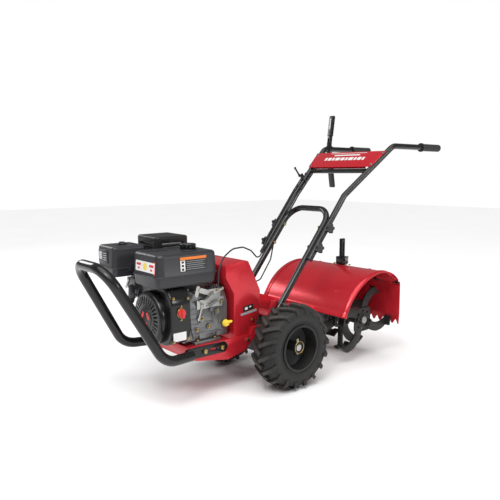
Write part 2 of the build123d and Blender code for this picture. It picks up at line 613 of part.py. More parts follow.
# ---- recoil starter ------------------------------------------------------------------------
REEL_Y = ENGINE_FRONT + 16
REEL_R = 52
PULL_RISE = 5
PULL = (-cos(radians(PULL_RISE)), 0, sin(radians(PULL_RISE)))
GRIP_START = (-101, REEL_Y, 375.2)
with BuildPart() as starter_reel:
    rod((0, REEL_Y - 8, CRANK_Z), (0, REEL_Y + 8, CRANK_Z), REEL_R)
    with BuildSketch(Plane(origin=(0, 0, CRANK_Z), x_dir=(0, 1, 0), z_dir=(1, 0, 0))):
        with Locations((REEL_Y, REEL_R)):
            Rectangle(9, 12)
    revolve(axis=CRANK_AXIS, mode=Mode.SUBTRACT)
    hole((0, REEL_Y - 9, CRANK_Z), (0, REEL_Y + 9, CRANK_Z), POST_R + FIT)
finish(starter_reel, "starter_reel")

with BuildPart() as starter_grip:
    pull_plane = Plane(origin=GRIP_START, x_dir=(0, 1, 0), z_dir=PULL)
    with BuildSketch(pull_plane.offset(2)):
        Circle(8)
    with BuildSketch(pull_plane.offset(16)):
        Circle(10)
    loft()
    with BuildSketch(pull_plane.offset(16)):
        SlotOverall(24, 20, rotation=90)
    with BuildSketch(pull_plane.offset(26)):
        SlotOverall(72, 22, rotation=90)
    loft()
    with BuildSketch(pull_plane.offset(26)):
        SlotOverall(72, 22, rotation=90)
    extrude(amount=10)
    chamfer(starter_grip.faces().sort_by(Axis(GRIP_START, PULL))[-1].edges(), 2)
finish(starter_grip, "starter_grip")

# ---- fuel tank -----------------------------------------------------------------------------
with BuildPart() as fuel_tank:
    tank_x = (TANK_LEFT + TANK_RIGHT) / 2
    tank_y = (TANK_FRONT + TANK_BACK) / 2
    tank_w = TANK_LEFT - TANK_RIGHT
    tank_d = TANK_BACK - TANK_FRONT
    with BuildSketch(Plane.XY.offset(TANK_SEAM)):
        with Locations((tank_x, tank_y)):
            RectangleRounded(tank_w, tank_d, 30)
    extrude(amount=TANK_TOP - TANK_SEAM, taper=4)
    fillet(fuel_tank.faces().sort_by(Axis.Z)[-1].edges(), 13)
    with BuildSketch(Plane.XY.offset(TANK_SEAM)):
        with Locations((tank_x, tank_y)):
            RectangleRounded(tank_w - 4, tank_d - 4, 28)
    extrude(amount=-(TANK_SEAM - TANK_LOW), taper=6)
    fillet(fuel_tank.faces().sort_by(Axis.Z)[0].edges(), 9)
    with BuildSketch(Plane.XY.offset(TANK_SEAM - 2)):
        with Locations((tank_x, tank_y)):
            RectangleRounded(tank_w + 5, tank_d + 5, 32)
    extrude(amount=4)
    with BuildSketch(Plane.XY.offset(TANK_LOW + TANK_WALL + 6)):
        with Locations((tank_x, tank_y)):
            RectangleRounded(tank_w - 22, tank_d - 22, 20)
    extrude(amount=TANK_TOP - TANK_LOW - 2 * TANK_WALL - 12, mode=Mode.SUBTRACT)
    rod((CAP_X, CAP_Y, TANK_TOP - 8), (CAP_X, CAP_Y, TANK_TOP + 8), NECK_R)
    hole((CAP_X, CAP_Y, TANK_TOP - 20), (CAP_X, CAP_Y, TANK_TOP + 9), NECK_R - 3)
finish(fuel_tank, "fuel_tank")

with BuildPart() as fuel_cap:
    rod((CAP_X, CAP_Y, TANK_TOP + 1), (CAP_X, CAP_Y, TANK_TOP + 22), CAP_R)
    with BuildSketch(Plane.XY.offset(TANK_TOP + 1)):
        with Locations((CAP_X, CAP_Y)):
            with PolarLocations(CAP_R + 3, 12):
                Circle(5.5)
    extrude(amount=17, mode=Mode.SUBTRACT)
    chamfer(fuel_cap.faces().sort_by(Axis.Z)[-1].edges(), 2)
    with BuildSketch(Plane.XY.offset(TANK_TOP + 1)):
        with Locations((CAP_X, CAP_Y)):
            Circle(NECK_R + GAP)
    extrude(amount=7 + GAP, mode=Mode.SUBTRACT)
finish(fuel_cap, "fuel_cap")

# ---- muffler, air cleaner and carburettor ----------------------------------------------------
GUARD_LOW = (-246, AXLE_Y - 404, 452)
GUARD_HIGH = (-96, AXLE_Y - 262, 584)
GUARD_X = (GUARD_LOW[0] + GUARD_HIGH[0]) / 2
GUARD_Y = (GUARD_LOW[1] + GUARD_HIGH[1]) / 2
GUARD_WIDE = GUARD_HIGH[0] - GUARD_LOW[0]
GUARD_DEEP = GUARD_HIGH[1] - GUARD_LOW[1]
with BuildPart() as muffler_guard:
    with BuildSketch(Plane.XY.offset(GUARD_LOW[2])):
        with Locations((GUARD_X, GUARD_Y)):
            RectangleRounded(GUARD_WIDE, GUARD_DEEP, 14)
    extrude(amount=GUARD_HIGH[2] - GUARD_LOW[2])
    fillet(muffler_guard.faces().sort_by(Axis.Z)[-1].edges(), 8)
    with BuildSketch(Plane.XY.offset(GUARD_LOW[2])):
        with Locations((GUARD_X, GUARD_Y)):
            RectangleRounded(GUARD_WIDE - 4, GUARD_DEEP - 4, 12)
    extrude(amount=GUARD_HIGH[2] - GUARD_LOW[2] - 6, mode=Mode.SUBTRACT)
    with BuildSketch(Plane.YZ.offset(GUARD_LOW[0] - 5)):
        with Locations((AXLE_Y - 333, 520)):
            with GridLocations(0, 15, 1, 6):
                SlotOverall(96, 6)
    extrude(amount=170, mode=Mode.SUBTRACT)
    with BuildSketch(Plane.XZ.offset(-GUARD_LOW[1] + 5)):
        with Locations((-171, 520)):
            with GridLocations(0, 15, 1, 6):
                SlotOverall(96, 6)
    extrude(amount=-160, mode=Mode.SUBTRACT)
finish(muffler_guard, "muffler_guard")

with BuildPart() as muffler:
    block((-236, AXLE_Y - 394, 462), (-106, AXLE_Y - 272, 568))
    fillet(muffler.edges(), 12)
    block((-231, AXLE_Y - 389, 467), (-111, AXLE_Y - 277, 563), mode=Mode.SUBTRACT)
    rod((-150, AXLE_Y - 306, 440), (-150, AXLE_Y - 306, 470), 14)
finish(muffler, "muffler")

AIR_LOW = (-262, AXLE_Y - 560, 446)
AIR_HIGH = (-134, AXLE_Y - 424, 556)
with BuildPart() as air_cleaner:
    block(AIR_LOW, AIR_HIGH)
    fillet(air_cleaner.edges().filter_by(Axis.Z), 16)
    fillet(air_cleaner.faces().sort_by(Axis.Z)[-1].edges(), 11)
    block((AIR_LOW[0] - 3, AIR_LOW[1] - 3, 474), (AIR_HIGH[0] + 3, AIR_HIGH[1] + 3, 478))
    rod((-198, AXLE_Y - 492, 550), (-198, AXLE_Y - 492, 566), 11)
    block((-246, AIR_LOW[1] - 4, 492), (-176, AIR_LOW[1], 540))
finish(air_cleaner, "air_cleaner")

CARB_Y = AXLE_Y - 444
with BuildPart() as carburettor:
    block((-206, AXLE_Y - 470, 388), (-150, AXLE_Y - 424, 430))
    rod((-178, AXLE_Y - 447, 360), (-178, AXLE_Y - 447, 388), 21)
    rod((-178, AXLE_Y - 424, 410), (-178, AXLE_Y - 364, 410), 15)
    rod((-178, AXLE_Y - 447, 430), (-178, AXLE_Y - 447, 446), 18)
    rod((-178, AXLE_Y - 447, 352), (-178, AXLE_Y - 447, 360), 7)
finish(carburettor, "carburettor")


def make_lever(pivot, axis, along, reach, label):
    """Build a small stamped lever: a boss on its pivot, an arm and a rounded end."""
    with BuildPart() as lever:
        plane = Plane(origin=pivot, x_dir=along, z_dir=axis)
        with BuildSketch(plane):
            Circle(7)
            with Locations((reach / 2, 0)):
                SlotOverall(reach + 9, 8)
            with Locations((reach, 0)):
                Circle(6)
        extrude(amount=3)
    finish(lever, label)


CHOKE_PIVOT = (-196, AXLE_Y - 470 - GAP, 420)
VALVE_PIVOT = (-164, AXLE_Y - 470 - GAP, 400)
make_lever(CHOKE_PIVOT, (0, -1, 0), (-0.5, 0, -0.866), 34, "choke_lever")
make_lever(VALVE_PIVOT, (0, -1, 0), (0.8, 0, -0.6), 28, "fuel_valve_lever")

CONTROL_X = 84
with BuildPart() as control_bracket:
    block((CONTROL_X, AXLE_Y - 352, 336), (CONTROL_X + 2.5, AXLE_Y - 232, 372))
    block((CONTROL_X, AXLE_Y - 300, 372), (CONTROL_X + 2.5, AXLE_Y - 248, 404))
    block((CONTROL_X, AXLE_Y - 352, 369.5), (CONTROL_X + 16, AXLE_Y - 318, 372))
    for place in (-306, -246):
        rod((80, AXLE_Y + place, 342), (CONTROL_X + 7, AXLE_Y + place, 342), 5)
finish(control_bracket, "control_bracket")

THROTTLE_PIVOT = (CONTROL_X + 2.5 + GAP, AXLE_Y - 274, 388)
GOVERNOR_PIVOT = (CONTROL_X + 2.5 + GAP, AXLE_Y - 330, 350)
make_lever(THROTTLE_PIVOT, (1, 0, 0), (0, 0.94, 0.34), 36, "throttle_arm")
make_lever(GOVERNOR_PIVOT, (1, 0, 0), (0, -0.3, -0.954), 52, "governor_arm")

SWITCH_Y = AXLE_Y - 440
SWITCH_Z = 344
with BuildPart() as engine_switch:
    rod((SHROUD_HALF + GAP, SWITCH_Y, SWITCH_Z), (SHROUD_HALF + 10, SWITCH_Y, SWITCH_Z), 14)
    block((SHROUD_HALF + 8, SWITCH_Y - 4, SWITCH_Z - 15), (SHROUD_HALF + 19, SWITCH_Y + 4, SWITCH_Z + 15))
finish(engine_switch, "engine_switch")

with BuildPart() as dipstick:
    with BuildSketch(DIP_PLANE.offset(7)):
        Circle(13)
    extrude(amount=11)
    with BuildSketch(DIP_PLANE.offset(16)):
        with Locations((7, 0)):
            SlotOverall(36, 9)
    extrude(amount=7)
finish(dipstick, "dipstick")

# ---- crankshaft, flywheel and pulleys ------------------------------------------------------
with BuildPart() as crankshaft:
    rod((0, SHROUD_FRONT + 4, CRANK_Z), (0, BELT_Y + 22, CRANK_Z), CRANK_R)
    chamfer(crankshaft.faces().filter_by(Axis.Y).edges(), 1)
finish(crankshaft, "crankshaft")

with BuildPart() as flywheel:
    fly_y = SHROUD_FRONT + 26
    rod((0, fly_y, CRANK_Z), (0, fly_y + 26, CRANK_Z), FLYWHEEL_R)
    rod((0, fly_y - 18, CRANK_Z), (0, fly_y, CRANK_Z), 26)
    with BuildSketch(Plane.XZ.offset(-fly_y)):
        with Locations((0, CRANK_Z)):
            with PolarLocations(56, 18):
                Rectangle(40, 3, rotation=24)
    extrude(amount=18)
    hole((0, fly_y - 20, CRANK_Z), (0, fly_y + 30, CRANK_Z), CRANK_R)
finish(flywheel, "flywheel")


def make_pulley(axis_z, belt_r, shaft_r, label):
    """Build a grooved pulley whose groove leaves the belt a small gap all round."""
    half = BELT_WIDTH / 2 + GAP
    with BuildPart() as pulley:
        rod((0, BELT_Y - half - 4, axis_z), (0, BELT_Y + half + 4, axis_z), belt_r + BELT_DEPTH)
        with BuildSketch(Plane(origin=(0, 0, axis_z), x_dir=(0, 1, 0), z_dir=(1, 0, 0))):
            with Locations((BELT_Y, belt_r + BELT_DEPTH)):
                Rectangle(2 * half, 2 * (BELT_DEPTH + GAP))
        revolve(axis=Axis((0, 0, axis_z), (0, 1, 0)), mode=Mode.SUBTRACT)
        rod((0, BELT_Y + half + 4, axis_z), (0, BELT_Y + half + 12, axis_z), shaft_r + 7)
        hole((0, BELT_Y - 30, axis_z), (0, BELT_Y + 40, axis_z), shaft_r)
        if belt_r > 50:
            with BuildSketch(Plane.XZ.offset(-BELT_Y + 20)):
                with Locations((0, axis_z)):
                    with PolarLocations(42, 5):
                        Circle(13)
            extrude(amount=-40, mode=Mode.SUBTRACT)
    finish(pulley, label)


make_pulley(CRANK_Z, SMALL_PULLEY_R, CRANK_R, "drive_pulley")
make_pulley(INPUT_Z, LARGE_PULLEY_R - BELT_DEPTH, INPUT_R, "input_pulley")

with BuildPart() as input_shaft:
    rod((0, BELT_Y - 16, INPUT_Z), (0, AXLE_Y - 44, INPUT_Z), INPUT_R)
    chamfer(input_shaft.faces().filter_by(Axis.Y).edges(), 1)
finish(input_shaft, "input_shaft")

with BuildPart() as drive_belt:
    large = LARGE_PULLEY_R - BELT_DEPTH
    for extra, mode in ((BELT_DEPTH - 1, Mode.ADD), (GAP / 2, Mode.SUBTRACT)):
        with BuildSketch(Plane.XZ.offset(-(BELT_Y - BELT_WIDTH / 2))):
            with BuildLine():
                CenterArc((0, CRANK_Z), SMALL_PULLEY_R + extra, 0, 360)
                CenterArc((0, INPUT_Z), large + extra, 0, 360)
            make_hull()
        extrude(amount=-BELT_WIDTH, mode=mode)
finish(drive_belt, "drive_belt")

# ============================================================================ handlebar
LEG_POINTS = [
    (LEG_X, FOOT_Y - 12, slope_z(FOOT_Y - 12)), (LEG_X, ARCH_Y, ARCH_Z),
    (-LEG_X, ARCH_Y, ARCH_Z), (-LEG_X, FOOT_Y - 12, slope_z(FOOT_Y - 12)),
]
BAR_START = (BAR_X, AXLE_Y + 158, slope_z(AXLE_Y + 158))
with BuildPart() as handle_legs:
    sweep_tube(LEG_POINTS, 72, BAR_R, BAR_WALL)
    for side in (1, -1):
        for place in (FOOT_Y, FOOT_Y + 26, AXLE_Y + KNOB_PLACES[0], AXLE_Y + KNOB_PLACES[1]):
            hole((side * 90, place, slope_z(place)), (side * 160, place, slope_z(place)), STUD_R)
finish(handle_legs, "handle_legs")


def make_bar(side, label):
    """Build one upper handle tube, from its bolted foot to the grip."""
    points = [
        (side * BAR_X, BAR_START[1], BAR_START[2]), (side * (BAR_X + 2), BEND_Y, BEND_Z),
        (side * TOP_X, TOP_Y, GRIP_Z), (side * GRIP_X, GRIP_END - 4, GRIP_Z),
    ]
    with BuildPart() as bar:
        sweep_tube(points, 50, BAR_R, BAR_WALL)
        for place in KNOB_PLACES:
            y = AXLE_Y + place
            hole((side * 110, y, slope_z(y)), (side * 190, y, slope_z(y)), STUD_R)
    finish(bar, label)


make_bar(1, "left_bar")
make_bar(-1, "right_bar")

with BuildPart() as handle_grips:
    for side in (1, -1):
        axis_x = side * (GRIP_X - (GRIP_LENGTH / 2) * (GRIP_X - TOP_X) / (GRIP_END - TOP_Y))
        lean = (side * (GRIP_X - TOP_X), GRIP_END - 4 - TOP_Y, 0)
        end = Vector(side * GRIP_X, GRIP_END - 4, GRIP_Z)
        along = Vector(*lean).normalized()
        grip_plane = Plane(origin=end + along * 4, z_dir=along * -1)
        with BuildSketch(grip_plane):
            Circle(GRIP_R)
        extrude(amount=GRIP_LENGTH)
        with BuildSketch(grip_plane.offset(GRIP_LENGTH)):
            Circle(GRIP_R + 3.5)
        extrude(amount=-5)
        with BuildSketch(grip_plane.offset(4)):
            Circle(BAR_R)
        extrude(amount=GRIP_LENGTH, mode=Mode.SUBTRACT)
finish(handle_grips, "handle_grips")

# ---- panel and cross tube ------------------------------------------------------------------
SLOPE = Vector(0, TOP_Y - BEND_Y, GRIP_Z - BEND_Z).normalized()
SLOPE_NORMAL = Vector(0, -SLOPE.Z, SLOPE.Y)
PANEL_START = 172
PANEL_LENGTH = 106
PANEL_WALL = 2.5


def bar_x(along):
    """Half distance between the upper bars at a place along their slope."""
    return BAR_X + 2 + (TOP_X - BAR_X - 2) * along / hypot(TOP_Y - BEND_Y, GRIP_Z - BEND_Z)


PANEL_ORIGIN = Vector(0, BEND_Y, BEND_Z) + SLOPE * PANEL_START + SLOPE_NORMAL * (BAR_R + 0.6)
PANEL_PLANE = Plane(origin=PANEL_ORIGIN, x_dir=(1, 0, 0), z_dir=SLOPE_NORMAL)
with BuildPart() as cross_panel:
    low_half = bar_x(PANEL_START) + 9
    high_half = bar_x(PANEL_START + PANEL_LENGTH) + 9
    with BuildSketch(PANEL_PLANE):
        Polygon((-low_half, 0), (low_half, 0), (high_half, PANEL_LENGTH), (-high_half, PANEL_LENGTH),
                align=None)
    extrude(amount=PANEL_WALL)
    fillet(cross_panel.edges().filter_by(lambda e: abs(e.length - PANEL_WALL) < 0.01), 8)
    with BuildSketch(PANEL_PLANE):
        for edge_y in (PANEL_WALL / 2, PANEL_LENGTH - PANEL_WALL / 2):
            with Locations((0, edge_y)):
                Rectangle(2 * low_half - 60, PANEL_WALL)
    extrude(amount=-9)
finish(cross_panel, "cross_panel")

TUBE_ALONG = 161
TUBE_AT = Vector(0, BEND_Y, BEND_Z) + SLOPE * TUBE_ALONG
TUBE_R = 10
with BuildPart() as cross_tube:
    tube_half = bar_x(TUBE_ALONG) - BAR_R - 2.5
    rod((-tube_half, TUBE_AT.Y, TUBE_AT.Z), (tube_half, TUBE_AT.Y, TUBE_AT.Z), TUBE_R)
    hole((-tube_half, TUBE_AT.Y, TUBE_AT.Z), (tube_half, TUBE_AT.Y, TUBE_AT.Z), TUBE_R - 2)
finish(cross_tube, "cross_tube")

# ---- knobs and fasteners -------------------------------------------------------------------
STUD_END = BAR_X + BAR_R + 10


def make_knob(side, place, label):
    """Build one five-lobed clamping knob on its stud."""
    y = AXLE_Y + place
    face = side * (BAR_X + BAR_R + 2)
    with BuildPart() as knob:
        with BuildSketch(Plane(origin=(face, y, slope_z(y)), x_dir=(0, 1, 0), z_dir=(side, 0, 0))):
            Circle(KNOB_R - 6)
            with PolarLocations(KNOB_R - 7, 5):
                Circle(7)
        extrude(amount=14)
        with BuildSketch(Plane(origin=(face, y, slope_z(y)), x_dir=(0, 1, 0), z_dir=(side, 0, 0))):
            Circle(STUD_R + FIT)
        extrude(amount=10, mode=Mode.SUBTRACT)
        fillet(knob.faces().sort_by(Axis.X)[-1 if side > 0 else 0].edges(), 2.5)
    finish(knob, label)


make_knob(1, KNOB_PLACES[0], "knob_left_lower")
make_knob(1, KNOB_PLACES[1], "knob_left_upper")
make_knob(-1, KNOB_PLACES[0], "knob_right_lower")
make_knob(-1, KNOB_PLACES[1], "knob_right_upper")

with BuildPart() as fasteners:
    for side in (1, -1):
        for place in KNOB_PLACES:
            y = AXLE_Y + place
            bolt((side * (LEG_X - BAR_R - 1), y, slope_z(y)), (-side, 0, 0), STUD_R, 5,
                 STUD_END - LEG_X + BAR_R)
        for place in (FOOT_Y, FOOT_Y + 26):
            bolt((side * (LEG_X + BAR_R + 1), place, slope_z(place)), (side, 0, 0), STUD_R, 6, 2 * BAR_R + 8)
        for place in BRACKET_BOLTS:
            bolt((side * (RAIL_OUT + 5), place, 187), (side, 0, 0), 5.2, 7, 5)
        for bolt_y, bolt_z in RAIL_BOLTS:
            bolt((side * RAIL_OUT, bolt_y, bolt_z), (side, 0, 0), 4, 6, 1)
        for bolt_y in FOOT_BOLTS:
            bolt((side * FOOT_BOLT_X, bolt_y, ENGINE_BASE_Z + 11), (0, 0, 1), 4.2, 6, 0.5)
finish(fasteners, "fasteners")

# ---- levers on the right handle ------------------------------------------------------------
LEVER_X = -(TOP_X + (GRIP_X - TOP_X) * (LEVER_Y - TOP_Y) / (GRIP_END - TOP_Y))
PIVOT_UP = (LEVER_X, LEVER_Y, GRIP_Z + LEVER_RISE)
PIVOT_DOWN = (LEVER_X, LEVER_Y, GRIP_Z - LEVER_RISE)
THROTTLE_ALONG = 96
THROTTLE_AT = Vector(-bar_x(THROTTLE_ALONG), BEND_Y, BEND_Z) + SLOPE * THROTTLE_ALONG
THROTTLE_TOP = THROTTLE_AT + SLOPE_NORMAL * (BAR_R + 16)
with BuildPart() as lever_mounts:
    with BuildSketch(Plane.XZ.offset(-(LEVER_Y - 13))):
        with Locations((LEVER_X, GRIP_Z)):
            Circle(BAR_R + 4.5)
            Rectangle(9, 2 * LEVER_RISE + 12)
            Circle(BAR_R, mode=Mode.SUBTRACT)
    extrude(amount=-26)
    for pivot in (PIVOT_UP, PIVOT_DOWN):
        rod((LEVER_X - 12, pivot[1], pivot[2]), (LEVER_X + 12, pivot[1], pivot[2]), LEVER_PIN_R)
    with BuildSketch(Plane(origin=THROTTLE_AT - SLOPE * 9, x_dir=(1, 0, 0), z_dir=SLOPE)):
        Circle(BAR_R + 3.5)
        with Locations((0, -BAR_R - 10)):
            Rectangle(7, 24)
        Circle(BAR_R + 0.3, mode=Mode.SUBTRACT)
    extrude(amount=18)
    rod(tuple(THROTTLE_TOP - Vector(12, 0, 0)), tuple(THROTTLE_TOP + Vector(12, 0, 0)), 4)
finish(lever_mounts, "lever_mounts")


BLADE_WIDTH = 25
BLADE_THICK = 15


def make_hand_lever(pivot, lean, reach, label):
    """Build a hand lever: two cheeks on the pivot pin, a bridge and a long rounded blade."""
    run = Plane(origin=pivot, x_dir=(0, cos(radians(lean)), sin(radians(lean))), z_dir=(1, 0, 0))
    with BuildPart() as lever:
        for low in (-8.5, 4.5 + GAP):
            with BuildSketch(run.offset(low)):
                Circle(9)
                with Locations((16, 0)):
                    Rectangle(32, 16)
                Circle(LEVER_PIN_R + FIT, mode=Mode.SUBTRACT)
            extrude(amount=4 - GAP)
        with BuildSketch(run.offset(-8.5)):
            with Locations((30, 0)):
                Rectangle(18, 16)
        extrude(amount=17 - GAP)
        with BuildSketch(run.offset(-BLADE_WIDTH / 2)):
            with Locations(((reach + 34) / 2, 0)):
                SlotOverall(reach - 34, BLADE_THICK)
        extrude(amount=BLADE_WIDTH)
        fillet(lever.edges().sort_by(Axis(pivot, run.x_dir))[-1], 1)
    finish(lever, label)


make_hand_lever(PIVOT_UP, LEVER_LEAN, LEVER_LENGTH, "clutch_lever")
make_hand_lever(PIVOT_DOWN, -REVERSE_LEAN, REVERSE_LENGTH, "reverse_lever")

make_lever(tuple(THROTTLE_TOP - Vector(12 + GAP, 0, 0)), (-1, 0, 0), tuple(SLOPE_NORMAL), 44, "throttle_lever")

# ---- control cables ------------------------------------------------------------------------
CABLE_R = 3
CABLE_BEND = 42
UNDER = BAR_R + 7.5
OVER = BAR_R + CABLE_R + 4
LEG_SLOPE = Vector(0, ARCH_Y - FOOT_Y, ARCH_Z - FOOT_Z).normalized()
LEG_NORMAL = Vector(0, -LEG_SLOPE.Z, LEG_SLOPE.Y)


def beside_leg(y, x, lift):
    """Point beside the right leg: at a place along Y, lifted off its middle line."""
    return tuple(Vector(x, AXLE_Y + y, slope_z(AXLE_Y + y)) + LEG_NORMAL * lift)


def beside_slope(along, x_in, lift):
    """Point beside the upper bar's slope, lifted off its middle line."""
    at = Vector(-bar_x(along) + x_in, BEND_Y, BEND_Z) + SLOPE * along + SLOPE_NORMAL * lift
    return tuple(at)


CLUTCH_CABLE = [
    (LEVER_X, LEVER_Y - 14, GRIP_Z - 22), (LEVER_X, LEVER_Y - 38, GRIP_Z - 34),
    beside_slope(12, 0, -UNDER), beside_leg(216, -BAR_X, -UNDER), beside_leg(148, -LEG_X + 24, -UNDER),
    beside_leg(84, -LEG_X + 30, -UNDER), (-80, AXLE_Y + 14, 350), (-60, AXLE_Y - 66, 340),
]
THROTTLE_CABLE = [
    beside_slope(THROTTLE_ALONG - 10, 0, OVER + 1), beside_slope(8, 0, OVER),
    beside_leg(206, -BAR_X, OVER), beside_leg(140, -LEG_X, OVER), (-88, AXLE_Y + 78, 466),
    (-40, AXLE_Y + 6, 506), (8, AXLE_Y - 76, 532), (48, AXLE_Y - 160, 536), (74, AXLE_Y - 226, 510),
    (CONTROL_X - 2.4, AXLE_Y - 253, 456), (CONTROL_X - 2.4, AXLE_Y - 253, 404),
]
THROTTLE_BENDS = (40, 60, 40, 90, 120, 150, 120, 60, 40)
with BuildPart() as control_cables:
    sweep_tube(CLUTCH_CABLE, 22, CABLE_R, 0)
    sweep_tube(THROTTLE_CABLE, THROTTLE_BENDS, CABLE_R, 0)
finish(control_cables, "control_cables")
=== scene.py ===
"""Rear-tine tiller: finishes, small fittings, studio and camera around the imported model."""

from __future__ import annotations

import json
import logging
from dataclasses import dataclass
from enum import Enum
from math import cos, pi, radians, sin

import bmesh
import bpy
from bmesh.types import BMEdge, BMesh
from bpy.types import NodeSocket, NodeTree
from mathutils import Matrix, Vector

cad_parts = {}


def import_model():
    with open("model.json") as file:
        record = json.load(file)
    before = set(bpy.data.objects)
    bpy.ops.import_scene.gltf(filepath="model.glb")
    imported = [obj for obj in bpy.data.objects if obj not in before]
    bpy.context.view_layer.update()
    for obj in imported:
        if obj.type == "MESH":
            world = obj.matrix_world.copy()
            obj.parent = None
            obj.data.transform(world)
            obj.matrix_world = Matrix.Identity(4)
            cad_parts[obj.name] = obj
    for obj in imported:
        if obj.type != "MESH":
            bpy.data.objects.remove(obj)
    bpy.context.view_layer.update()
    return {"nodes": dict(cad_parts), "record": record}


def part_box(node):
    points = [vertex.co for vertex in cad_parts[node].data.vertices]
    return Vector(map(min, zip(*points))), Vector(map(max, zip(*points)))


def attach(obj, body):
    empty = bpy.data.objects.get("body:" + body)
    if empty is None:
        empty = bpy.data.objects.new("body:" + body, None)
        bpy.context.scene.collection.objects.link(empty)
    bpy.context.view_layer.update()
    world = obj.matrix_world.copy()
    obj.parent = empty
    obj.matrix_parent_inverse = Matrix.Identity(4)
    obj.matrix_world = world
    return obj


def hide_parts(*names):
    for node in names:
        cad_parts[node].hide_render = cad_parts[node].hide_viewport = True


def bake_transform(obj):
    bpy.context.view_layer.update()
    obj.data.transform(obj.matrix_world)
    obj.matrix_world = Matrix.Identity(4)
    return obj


LOG = logging.getLogger("tiller")
MM = 0.001


# ============================================================================ finishes
class Grain(Enum):
    """How a finish's fine relief is patterned."""

    CLOUDY = "cloudy"
    SANDY = "sandy"
    PEBBLED = "pebbled"
    BRUSHED = "brushed"


@dataclass(frozen=True)
class Finish:
    """One procedural surface finish, read from object coordinates.

    Attributes:
        name: material name.
        base: main colour, linear RGB.
        shade: second colour that the broad pattern mixes in.
        rough: lowest and highest roughness over the surface.
        metallic: metal share of the shader.
        grain: pattern of the fine relief.
        grain_scale: pattern frequency per metre.
        relief: bump strength.
        patch_scale: frequency of the broad colour pattern per metre.
        coat: clear-coat weight.
        dust: share of pale dust that settles on upward faces.
        specular: specular level of the shader.
    """

    name: str
    base: tuple[float, float, float]
    shade: tuple[float, float, float]
    rough: tuple[float, float] = (0.35, 0.5)
    metallic: float = 0.0
    grain: Grain = Grain.CLOUDY
    grain_scale: float = 700.0
    relief: float = 0.12
    patch_scale: float = 9.0
    coat: float = 0.0
    dust: float = 0.0
    specular: float = 0.5

    def material(self) -> bpy.types.Material:
        """Build the material once and return it afterwards.

        Returns:
            The Blender material with its node tree.
        """
        known = bpy.data.materials.get(self.name)
        if known is not None:
            return known
        made = bpy.data.materials.new(self.name)
        made.use_nodes = True
        tree = made.node_tree
        shader = tree.nodes["Principled BSDF"]
        shader.inputs["Metallic"].default_value = self.metallic
        shader.inputs["Coat Weight"].default_value = self.coat
        shader.inputs["Coat Roughness"].default_value = 0.08
        shader.inputs["Specular IOR Level"].default_value = self.specular
        place = tree.nodes.new("ShaderNodeTexCoord").outputs["Object"]
        patch = self._noise(tree, place, self.patch_scale, 6.0)
        colour = self._mix_colour(tree, patch, self.base, self.shade)
        if self.dust > 0:
            colour = self._dusted(tree, place, colour)
        tree.links.new(colour, shader.inputs["Base Color"])
        tree.links.new(self._spread(tree, patch), shader.inputs["Roughness"])
        tree.links.new(self._bump(tree, place), shader.inputs["Normal"])
        return made

    @staticmethod
    def _noise(tree: NodeTree, place: NodeSocket, scale: float,
               detail: float) -> NodeSocket:
        """Add a noise texture and return its value."""
        noise = tree.nodes.new("ShaderNodeTexNoise")
        noise.inputs["Scale"].default_value = scale
        noise.inputs["Detail"].default_value = detail
        tree.links.new(place, noise.inputs["Vector"])
        return noise.outputs["Fac"]

    @staticmethod
    def _maths(tree: NodeTree, operation: str, first: NodeSocket, *others: NodeSocket | float) -> NodeSocket:
        """Add a maths node whose other inputs are sockets or constants, and return its value."""
        node = tree.nodes.new("ShaderNodeMath")
        node.operation = operation
        node.use_clamp = operation == "MULTIPLY_ADD"
        tree.links.new(first, node.inputs[0])
        for number, other in enumerate(others, start=1):
            if isinstance(other, NodeSocket):
                tree.links.new(other, node.inputs[number])
            else:
                node.inputs[number].default_value = other
        return node.outputs[0]

    @staticmethod
    def _cover(tree: NodeTree, share: NodeSocket, under: NodeSocket,
               over: tuple[float, float, float]) -> NodeSocket:
        """Lay one colour over another by a share between 0 and 1."""
        mix = tree.nodes.new("ShaderNodeMix")
        mix.data_type = "RGBA"
        tree.links.new(share, mix.inputs["Factor"])
        tree.links.new(under, mix.inputs["A"])
        mix.inputs["B"].default_value = (*over, 1)
        return mix.outputs["Result"]

    @staticmethod
    def _mix_colour(tree: NodeTree, share: NodeSocket,
                    low: tuple[float, float, float],
                    high: tuple[float, float, float]) -> NodeSocket:
        """Ramp between two colours over the middle of a pattern."""
        ramp = tree.nodes.new("ShaderNodeValToRGB")
        ramp.color_ramp.elements[0].position = 0.35
        ramp.color_ramp.elements[1].position = 0.68
        ramp.color_ramp.elements[0].color = (*low, 1)
        ramp.color_ramp.elements[1].color = (*high, 1)
        tree.links.new(share, ramp.inputs["Fac"])
        return ramp.outputs["Color"]

    def _dusted(self, tree: NodeTree, place: NodeSocket,
                colour: NodeSocket) -> NodeSocket:
        """Mix pale dust over upward faces and into a fine speckle."""
        up = tree.nodes.new("ShaderNodeNewGeometry")
        split = tree.nodes.new("ShaderNodeSeparateXYZ")
        tree.links.new(up.outputs["Normal"], split.inputs[0])
        speck = self._noise(tree, place, 60.0, 8.0)
        level = self._maths(tree, "MULTIPLY_ADD", split.outputs["Z"], 0.35, 0.25)
        share = self._maths(tree, "MULTIPLY", self._maths(tree, "MULTIPLY", level, speck), self.dust)
        return self._cover(tree, share, colour, (0.30, 0.27, 0.23))

    def _spread(self, tree: NodeTree, patch: NodeSocket) -> NodeSocket:
        """Map the broad pattern on to the finish's roughness range."""
        span = tree.nodes.new("ShaderNodeMapRange")
        span.inputs["From Min"].default_value = 0.3
        span.inputs["From Max"].default_value = 0.7
        span.inputs["To Min"].default_value = self.rough[0]
        span.inputs["To Max"].default_value = self.rough[1]
        tree.links.new(patch, span.inputs["Value"])
        return span.outputs["Result"]

